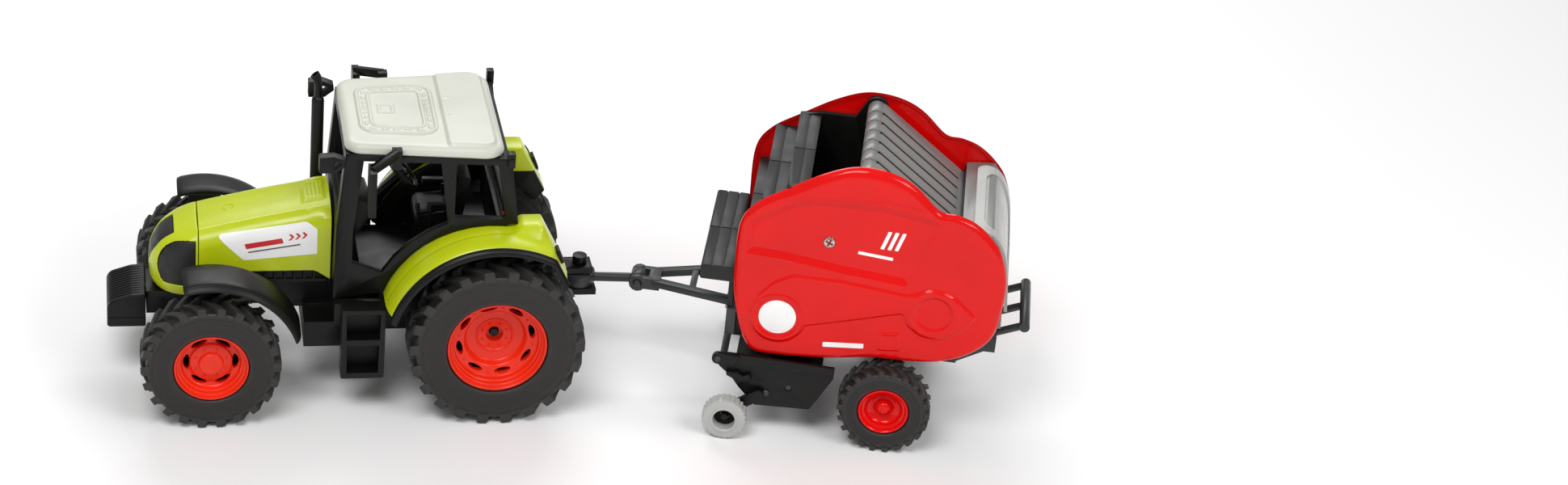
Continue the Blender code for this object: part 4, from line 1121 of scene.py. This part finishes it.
def step(side, word):
    """Two-tier access step: a tapering frame with a toe pocket and a ribbed tread on each tier."""
    frame_shape = rounded([(60.9, 57.9, 0.4), (60.9, 20.4, 1.2), (81.5, 20.4, 1.2), (81.5, 57.9, 0.4)])
    upper = rounded([(63.2, 55.6, 0.8), (63.4, 41.2, 0.8), (79.0, 41.2, 0.8), (79.2, 55.6, 0.8)])
    lower = rounded([(63.6, 38.6, 0.8), (63.8, 23.0, 0.8), (78.6, 23.0, 0.8), (78.8, 38.6, 0.8)])
    parts = [side_sheet(side, frame_shape, 40.2, 49.8, [upper, lower], edge=0.3),
             box((62, 80.4), (side * 40.3, side * 42), (21.5, 57.4))]
    for level in (23.0, 41.2):
        parts += [box((63.6, 78.8), (side * (42.6 + 1.6 * i), side * (43.3 + 1.6 * i)),
                      (level - 0.2, level + 0.5))
                  for i in range(5)]
    piece(joined(parts), "step_frame_" + word, "tractor", BLACK, ("step_" + word,), sharp=30)


def cushion(x, y, z):
    """A crowned moulded pad."""
    pad = box(x, y, z)
    cage = pad.modifiers.new("Cage", "BEVEL")
    cage.width = 0.9
    cage.segments = 1
    soft = pad.modifiers.new("Soft", "SUBSURF")
    soft.levels = 2
    soft.render_levels = 2
    return evaluated(pad)


# ---------------------------------------------------------------- baler

PANEL_KEYS = [(79.2, 109.5), (78.6, 86), (79.7, 71), (83, 56.5), (86.6, 47), (91.5, 41.4), (103, 40.6),
              (126, 42), (146, 45.2), (158.8, 45.9), (170, 46.4), (182.4, 48.4), (195.6, 54.4), (205.4, 65.1),
              (208.3, 82.5), (208.2, 96.5), (204, 110.2), (197.4, 119), (189.4, 125.2), (181, 128.1),
              (172.2, 129.4), (161, 139.4), (151.8, 144.6), (140.5, 147.1), (129, 146.4), (115.4, 140.7),
              (100.3, 131.3), (86, 121.4)]
PANEL_CENTRE = (142.0, 88.0)
PULLEY, REAR_RING, SCREW_AT = (101.8, 63.2), (176.0, 75.4), (122.4, 106.3)
FACE_STEP = 1.5                # the pressed face lies this far behind the outermost plane
FIELD_DEPTH = 1.5
# The gate's outer skin in (x, z), from its foot over the shoulder to the step flange
GATE_CURVE = smooth([(210.9, 75), (209.7, 86), (208.3, 97), (206.6, 105), (204.0, 111.4), (200.4, 115.9),
                     (195.6, 117.9), (189.6, 118.0)], 5)


def slope(value, low, high):
    """A straight ramp with crisp ends."""
    return np.clip((value - low) / (high - low), 0, 1)


def panel_height(points):
    """Pressed pattern of the side panel: a sunken field with sloping sides, and a raised belt guard."""
    field = rounded([(82.8, 95.4, 2), (84.0, 113.0, 3), (94.5, 120.6, 10), (104.5, 126.2, 12),
                     (120, 128.8, 16), (150, 129.1, 16), (175.4, 124.4, 4), (162.0, 88.0, 3),
                     (129.3, 91.0, 30), (101, 94.6, 30)], 6)
    sunk = -FIELD_DEPTH * slope(distance_to(field, points), 0.0, 3.6)
    crest = rounded([(83, 124.4, 2), (114.8, 128.7, 20), (150.2, 131.1, 20), (172, 128.6, 2), (160, 141, 8),
                     (140, 149, 8), (118, 144, 8), (98, 132, 8)], 6)
    brow = 0.45 * slope(distance_to(crest, points), -0.4, 1.4)
    to_pulley = np.linalg.norm(points - np.array(PULLEY), axis=1)
    to_ring = np.linalg.norm(points - np.array(REAR_RING), axis=1)
    belt = rounded([(89.2, 66, 3), (91.0, 73.0, 8), (98.3, 81.8, 8), (107.1, 86.8, 8), (129.8, 86.9, 30),
                    (163.5, 83.6, 6), (172.4, 88.4, 8), (184.6, 86.0, 6), (196.2, 75.9, 1.5),
                    (190.8, 68.2, 8), (180.8, 61.6, 10), (171, 62.2, 8), (164.2, 67, 6), (161.3, 73.6, 2),
                    (138.7, 66.8, 30), (114.5, 59.8, 3)], 6)
    guard = np.maximum(distance_to(belt, points), 13.8 - to_pulley)
    raised = 0.85 * slope(guard, -0.5, 0.7)
    pulley = 0.5 * slope(13.8 - to_pulley, 0.9, 1.5) - 0.9 * slope(11.0 - to_pulley, -0.3, 0.9)
    ring = 0.45 * slope(13.6 - to_ring, 0.6, 1.4) - 0.9 * slope(9.0 - to_ring, -0.4, 0.9)
    hatch = rounded([(151.3, 61.2, 1), (160.9, 62.2, 1), (161.4, 52.8, 1), (152.0, 52.0, 1)], 3)
    square = distance_to(hatch, points)
    small = 0.45 * (slope(square, -0.5, 0.1) - slope(square, 0.8, 1.4))
    return sunk + brow + raised + pulley + ring + small


def panel(side, word):
    """Glossy side panel: rolled edge, pressed pattern outside, shallow tray inside."""
    inner, outer = side_span("panel_" + word)
    inner -= 0.5
    outline = even(smooth(PANEL_KEYS, 8, closed=True), 560)
    face = outer - FACE_STEP
    stack, hub = relief(outline, PANEL_CENTRE, 3.4, face, panel_height, 170)
    back = backing(outline, PANEL_CENTRE, ((0.35, inner + 0.1), (1.6, inner), (2.2, inner + 0.3),
                                           (3.0, inner + 0.6), (5.0, inner + 0.7)))
    obj = relief_solid(stack, hub, back, lambda u, v, w: (u, side * w, v))
    piece(obj, "panel_shell_" + word, "baler", RED, ("panel_" + word,), sharp=60)
    panel_fittings(side, word, lambda x, z: face + float(panel_height(np.array([(x, z)]))[0]))


def panel_fittings(side, word, level):
    """The pulley's disc, the screw, and plain bars and stripes in place of lettering."""
    seat = level(*PULLEY)
    disc = turned([(9.0, seat - 0.3), (9.0, seat + 0.35), (8.7, seat + 0.5), (0.02, seat + 0.5),
                   (0.02, seat - 0.3)],
                  side, PULLEY, 64)
    piece(disc, "panel_disc_" + word, "baler", STICKER, sharp=40)
    screw(side, word, level(*SCREW_AT) - 0.4)
    marks = {"badge_bar": [(136.4, 101.8, 0.3), (153.2, 100.4, 0.3), (153.4, 102.0, 0.3),
                           (136.6, 103.4, 0.3)],
             "model_bar": [(125.0, 49.6, 0.4), (144.6, 51.4, 0.4), (144.5, 54.0, 0.4), (124.9, 52.2, 0.4)]}
    for i in range(3):
        x = 146.6 + 3.4 * i
        marks[f"badge_stripe_{i}"] = [(x, 106.0, 0.3), (x + 1.8, 105.9, 0.3), (x + 4.8, 115.6, 0.3),
                                      (x + 3.0, 115.7, 0.3)]
    for name, corners in marks.items():
        shape = rounded(corners, 2)
        skin = level(*shape[0])
        piece(side_sheet(side, shape, skin - 0.2, skin + 0.06), f"{name}_{word}", "baler", STICKER)


def screw(side, word, base):
    """Cross-head screw that holds the panel."""
    x, z = SCREW_AT
    head = turned([(2.9, base - 0.2), (2.9, base + 0.6), (2.6, base + 1.2), (1.6, base + 1.6),
                   (0.02, base + 1.75), (0.02, base - 0.2)], side, SCREW_AT, 40)
    spin = Matrix.Translation((x, 0, z)) @ Matrix.Rotation(math.radians(24), 4, "Y")
    spin = spin @ Matrix.Translation((-x, 0, -z))
    cross = []
    for wide, tall in ((1.9, 0.42), (0.42, 1.9)):
        cutter = box((x - wide, x + wide), (side * (base + 0.2), side * (base + 3)), (z - tall, z + tall))
        cutter.data.transform(spin)
        cross.append(cutter)
    piece(combine(head, cut=cross), "panel_screw_" + word, "baler", STEEL, sharp=35)


def chamber():
    """Bale chamber: stepped slats in front, each with a groove across its middle, and side walls."""
    grooves = []
    for x0, x1, z in ((82.0, 88.8, 105.0), (88.1, 100.0, 124.0), (99.3, 110.4, 132.5)):
        grooves.append(box((x0, x1), (-0.35, 0.35), (z - 0.6, z + 1)))
    for x, z0, z1 in ((82.2, 70, 105.2), (88.3, 105, 124.2), (99.5, 124, 132.7)):
        grooves.append(box((x - 1, x + 0.5), (-0.35, 0.35), (z0, z1)))
    for x, z in ((82.2, 96.5), (88.3, 114.6), (88.3, 119.4), (99.5, 128.4)):
        grooves.append(box((x - 1, x + 0.45), (-37.2, 37.2), (z - 0.3, z + 0.3)))
    for x, z in ((93.8, 124.0), (104.8, 132.5)):
        grooves.append(box((x - 0.3, x + 0.3), (-37.2, 37.2), (z - 0.45, z + 1)))
    shell = refined("bale_chamber", DARK, 0.3, grooves)
    second_finish(shell, BLACK, BALER, lambda at, facing:
                  at.x > 100.5 and at.z < 131.9 or abs(facing.y) > 0.7)


def front_cover():
    """Front twine-box cover with grooves pressed along and across it."""
    grooves = [box((62, 80), (-0.4, 0.4), (83.4, 86))]
    grooves += [box((x - 0.35, x + 0.35), (-38.6, 38.6), (83.4, 86)) for x in (67.9, 73.7)]
    grooves += [box((60, 62.9), (-0.4, 0.4), (70, 90))]
    refined("front_cover", DARK, 0.35, grooves)


def wrapped(outline, holes, inside, outside):
    """A sheet outlined in (y, distance along the gate's skin), bent to the skin between two offsets."""
    bm = taken(sheet(outline, "X", 0.0, 1.0, holes))
    curve = np.array(GATE_CURVE)
    steps = np.r_[0, np.cumsum(np.linalg.norm(np.diff(curve, axis=0), axis=1))]
    for i in range(int(steps[-1])):
        score(bm, (0, 0, 0.5 + i), (0, 0, 1))
    along = np.gradient(curve, axis=0)
    normal = np.stack([along[:, 1], -along[:, 0]], axis=1) / np.linalg.norm(along, axis=1)[:, None]
    for v in bm.verts:
        lift = outside if v.co.x > 0.5 else inside
        x, z = (np.interp(v.co.z, steps, curve[:, k] + lift * normal[:, k]) for k in (0, 1))
        v.co = (float(x), v.co.y, float(z))
    return from_bmesh(bm)


def gate():
    """Rear gate: knuckled slats with black strips of painted shade in their gaps, a step flange whose forward
    faces carry painted shade, and a framed window on a curved shell.
    """
    cuts = []
    gap_shade_strips = []
    run = Vector((183 - 141, 0, 111.6 - 143.2))
    normal = Vector((-run.z, 0, run.x)).normalized()
    start = Vector((139.6, 0, 144.3))
    for y in (-26.0, -15.6, -5.2, 5.2, 15.6, 26.0):
        foot = start + Vector((0, y, 0))
        cuts.append(bar(foot - normal * 0.2, foot - normal * 0.2 + run * 0.99, 1.2, 2.2))
        cuts.append(box((131, 141.5), (y - 0.6, y + 0.6), (143.4, 147)))
        cuts.append(box((131, 133.6), (y - 0.6, y + 0.6), (136, 147)))
        # Painted shade: a black strip lies in each groove between the slats.
        gap_shade_strips.append(bar(foot - normal * 0.6 + run * 0.01, foot - normal * 0.6 + run * 0.97, 1.15, 0.4))
    slats = refined("gate", SILVER, 0.3, cuts)
    # Painted shade: the step flange's faces that turn forward, towards the slats, get the darker plastic.
    second_finish(slats, DARK, BALER, lambda at, facing: at.x > 182 and at.z > 110 and facing.x < -0.6)
    piece(joined(gap_shade_strips), "gate_gap_shade_strips", "gate", BLACK)
    length = sum((Vector(p) - Vector(q)).length for p, q in zip(GATE_CURVE, GATE_CURVE[1:]))
    border = rounded([(-35, 0, 4), (35, 0, 4), (35, length, 5), (-35, length, 5)], 6)
    hole = rounded([(-29, 5, 4), (29, 5, 4), (29, length - 4.5, 8), (-29, length - 4.5, 8)], 8)
    piece(wrapped(border, [hole], -1.6, 0.0), "gate_window_frame", "gate", LIGHT_GREY, ("gate_window",),
          bevel=0.6, sharp=40, segments=3)
    glass = rounded([(-28.9, 5.1, 4), (28.9, 5.1, 4), (28.9, length - 4.6, 8), (-28.9, length - 4.6, 8)], 8)
    piece(wrapped(glass, [], -1.5, -0.9), "gate_window_pane", "gate", PANE, sharp=40)


def pickup():
    """Pick-up housing with a pivot lug, a hook step and a pin head on each side plate."""
    extra = []
    for side, word in SIDES:
        lug = arc((75.6, 38.6), 2.9, 90, 270, 10) + [(84, 35.6), (86, 41.2)]
        extra.append(side_sheet(side, lug, 46.2, 49.2, edge=0.3))
        hook = [(80.2, 32.6), (80.6, 30.8), (84.6, 29.0), (86.2, 27.0), (92.6, 29.8), (91.6, 32.4),
                (88.2, 31.0), (85.8, 32.6)]
        extra.append(side_sheet(side, hook, 46.3, 50.2, edge=0.3))
        lug_pin = turned([(1.5, 48.8), (1.5, 49.5), (1.1, 49.9), (0.02, 50.0), (0.02, 48.8)], side,
                         (75.6, 38.6), 24)
        piece(lug_pin, "pickup_lug_pin_" + word, "baler", GREY)
        pin = turned([(1.6, 48.1), (1.6, 48.6), (1.2, 49.0), (0.02, 49.1), (0.02, 48.1)], side, (100.4, 22.4),
                     24)
        piece(pin, "pickup_plate_pin_" + word, "baler", GREY)
        fold = box((86, 131), (side * 47.9, side * 48.15), (35.2, 35.7))
        piece(fold, "pickup_fold_" + word, "baler", BLACK, bevel=0.1)
    piece(joined(extra), "pickup_lugs", "baler", BLACK, sharp=35)
    refined("pickup_housing", BLACK, 0.3)


# ---------------------------------------------------------------- room, light and camera

def emitter(name, at, aim, size, power):
    data = bpy.data.lights.new(name, "AREA")
    data.shape = "RECTANGLE"
    data.size, data.size_y = size
    data.energy = power
    lamp = bpy.data.objects.new(name, data)
    bpy.context.scene.collection.objects.link(lamp)
    lamp.location = at
    lamp.rotation_euler = (Vector(aim) - Vector(at)).to_track_quat("-Z", "Y").to_euler()


def studio():
    world = bpy.data.worlds.new("studio")
    bpy.context.scene.world = world
    world.use_nodes = True
    background = world.node_tree.nodes["Background"]
    background.inputs["Color"].default_value = (1.0, 1.0, 1.0, 1.0)
    background.inputs["Strength"].default_value = 0.36
    emitter("key_softbox", (-0.45, -0.7, 1.25), (0, 0, 0.05), (0.7, 0.5), 9.8)
    emitter("fill_softbox", (0.7, -0.8, 1.0), (0.05, 0, 0.05), (0.6, 0.4), 5.2)
    emitter("rear_softbox", (0.1, 1.0, 1.1), (0, 0, 0.05), (1.2, 0.5), 9.5)
    bpy.context.scene.view_settings.view_transform = "Standard"
    bm = bmesh.new()
    bmesh.ops.create_grid(bm, x_segments=8, y_segments=8, size=4.0)
    floor = settled(bm)
    floor.name = "studio_floor"
    paper = Graph("studio_paper")
    paper.feed(Base_Color=paper.mix(paper.noise(400.0), (0.955, 0.955, 0.955, 1), (0.975, 0.975, 0.975, 1)),
               Roughness=0.9)
    floor.data.materials.append(paper.material)


# The camera stands in front of the tractor's left side and looks down on it
CAMERA_AT = (-50.0, -1286.6, 795.2)      # millimetres in the tractor's frame
CAMERA_YAW, CAMERA_PITCH, CAMERA_ROLL = 0.254, 0.503, 0.111
CAMERA_LENS, SENSOR = 69.53, 36.0


def camera():
    cy, sy = math.cos(CAMERA_YAW), math.sin(CAMERA_YAW)
    cp, sp = math.cos(CAMERA_PITCH), math.sin(CAMERA_PITCH)
    ahead = Vector((sy * cp, cy * cp, -sp))
    right = Vector((cy, -sy, 0))
    up = right.cross(ahead)
    cr, sr = math.cos(CAMERA_ROLL), math.sin(CAMERA_ROLL)
    x_axis = cr * right + sr * up
    y_axis = cr * up - sr * right
    turn = Matrix((x_axis, y_axis, -ahead)).transposed().to_4x4()
    data = bpy.data.cameras.new("camera")
    data.lens = CAMERA_LENS
    data.sensor_width = SENSOR
    data.clip_start, data.clip_end = 0.05, 20.0
    view = bpy.data.objects.new("camera", data)
    bpy.context.scene.collection.objects.link(view)
    view.matrix_world = Matrix.Translation(TRACTOR @ Vector(CAMERA_AT)) @ turn
    bpy.context.scene.camera = view


# ---------------------------------------------------------------- build

def build():
    camera()
    studio()
    for side, word in SIDES:
        tyre("front", side, word, 2.9)
        tyre("rear", side, word, 3.4)
        tyre("baler", side, word, 1.9)
        front_rim(side, word)
        rear_rim(side, word)
        baler_rim(side, word)
        gauge_wheel(side, word)
        rear_fender(side, word)
        front_fender(side, word)
        sticker(side, word)
        panel(side, word)
    hood()
    nose()
    front_weight()
    exhaust()
    roof()
    for node in ("chassis", "cab_frame", "cab_floor", "dashboard", "seat", "steering_wheel", "hitch_pin",
                 "front_axle"):
        refined(node, BLACK)
    for part in ("front_lamp", "rear_lamp", "mirror"):
        for side, word in SIDES:
            refined(f"{part}_{word}", BLACK, 0.4)
    cab_details()
    refined("baler_frame", GREY, 0.3)
    refined("pickup_reel", GREY, 0.3)
    refined("gauge_arm", BLACK, 0.3)
    for node in ("drawbar_eye", "gate_hinge_rod", "knuckle_pin"):
        refined(node, GREY, 0.3)
    chamber()
    front_cover()
    gate()
    pickup()
    refined("rear_axle", BLACKENED, 0.3)
    refined("baler_axle", STEEL, 0.3)
    refined("axle_pivot_pin", STEEL, 0.3)


build()
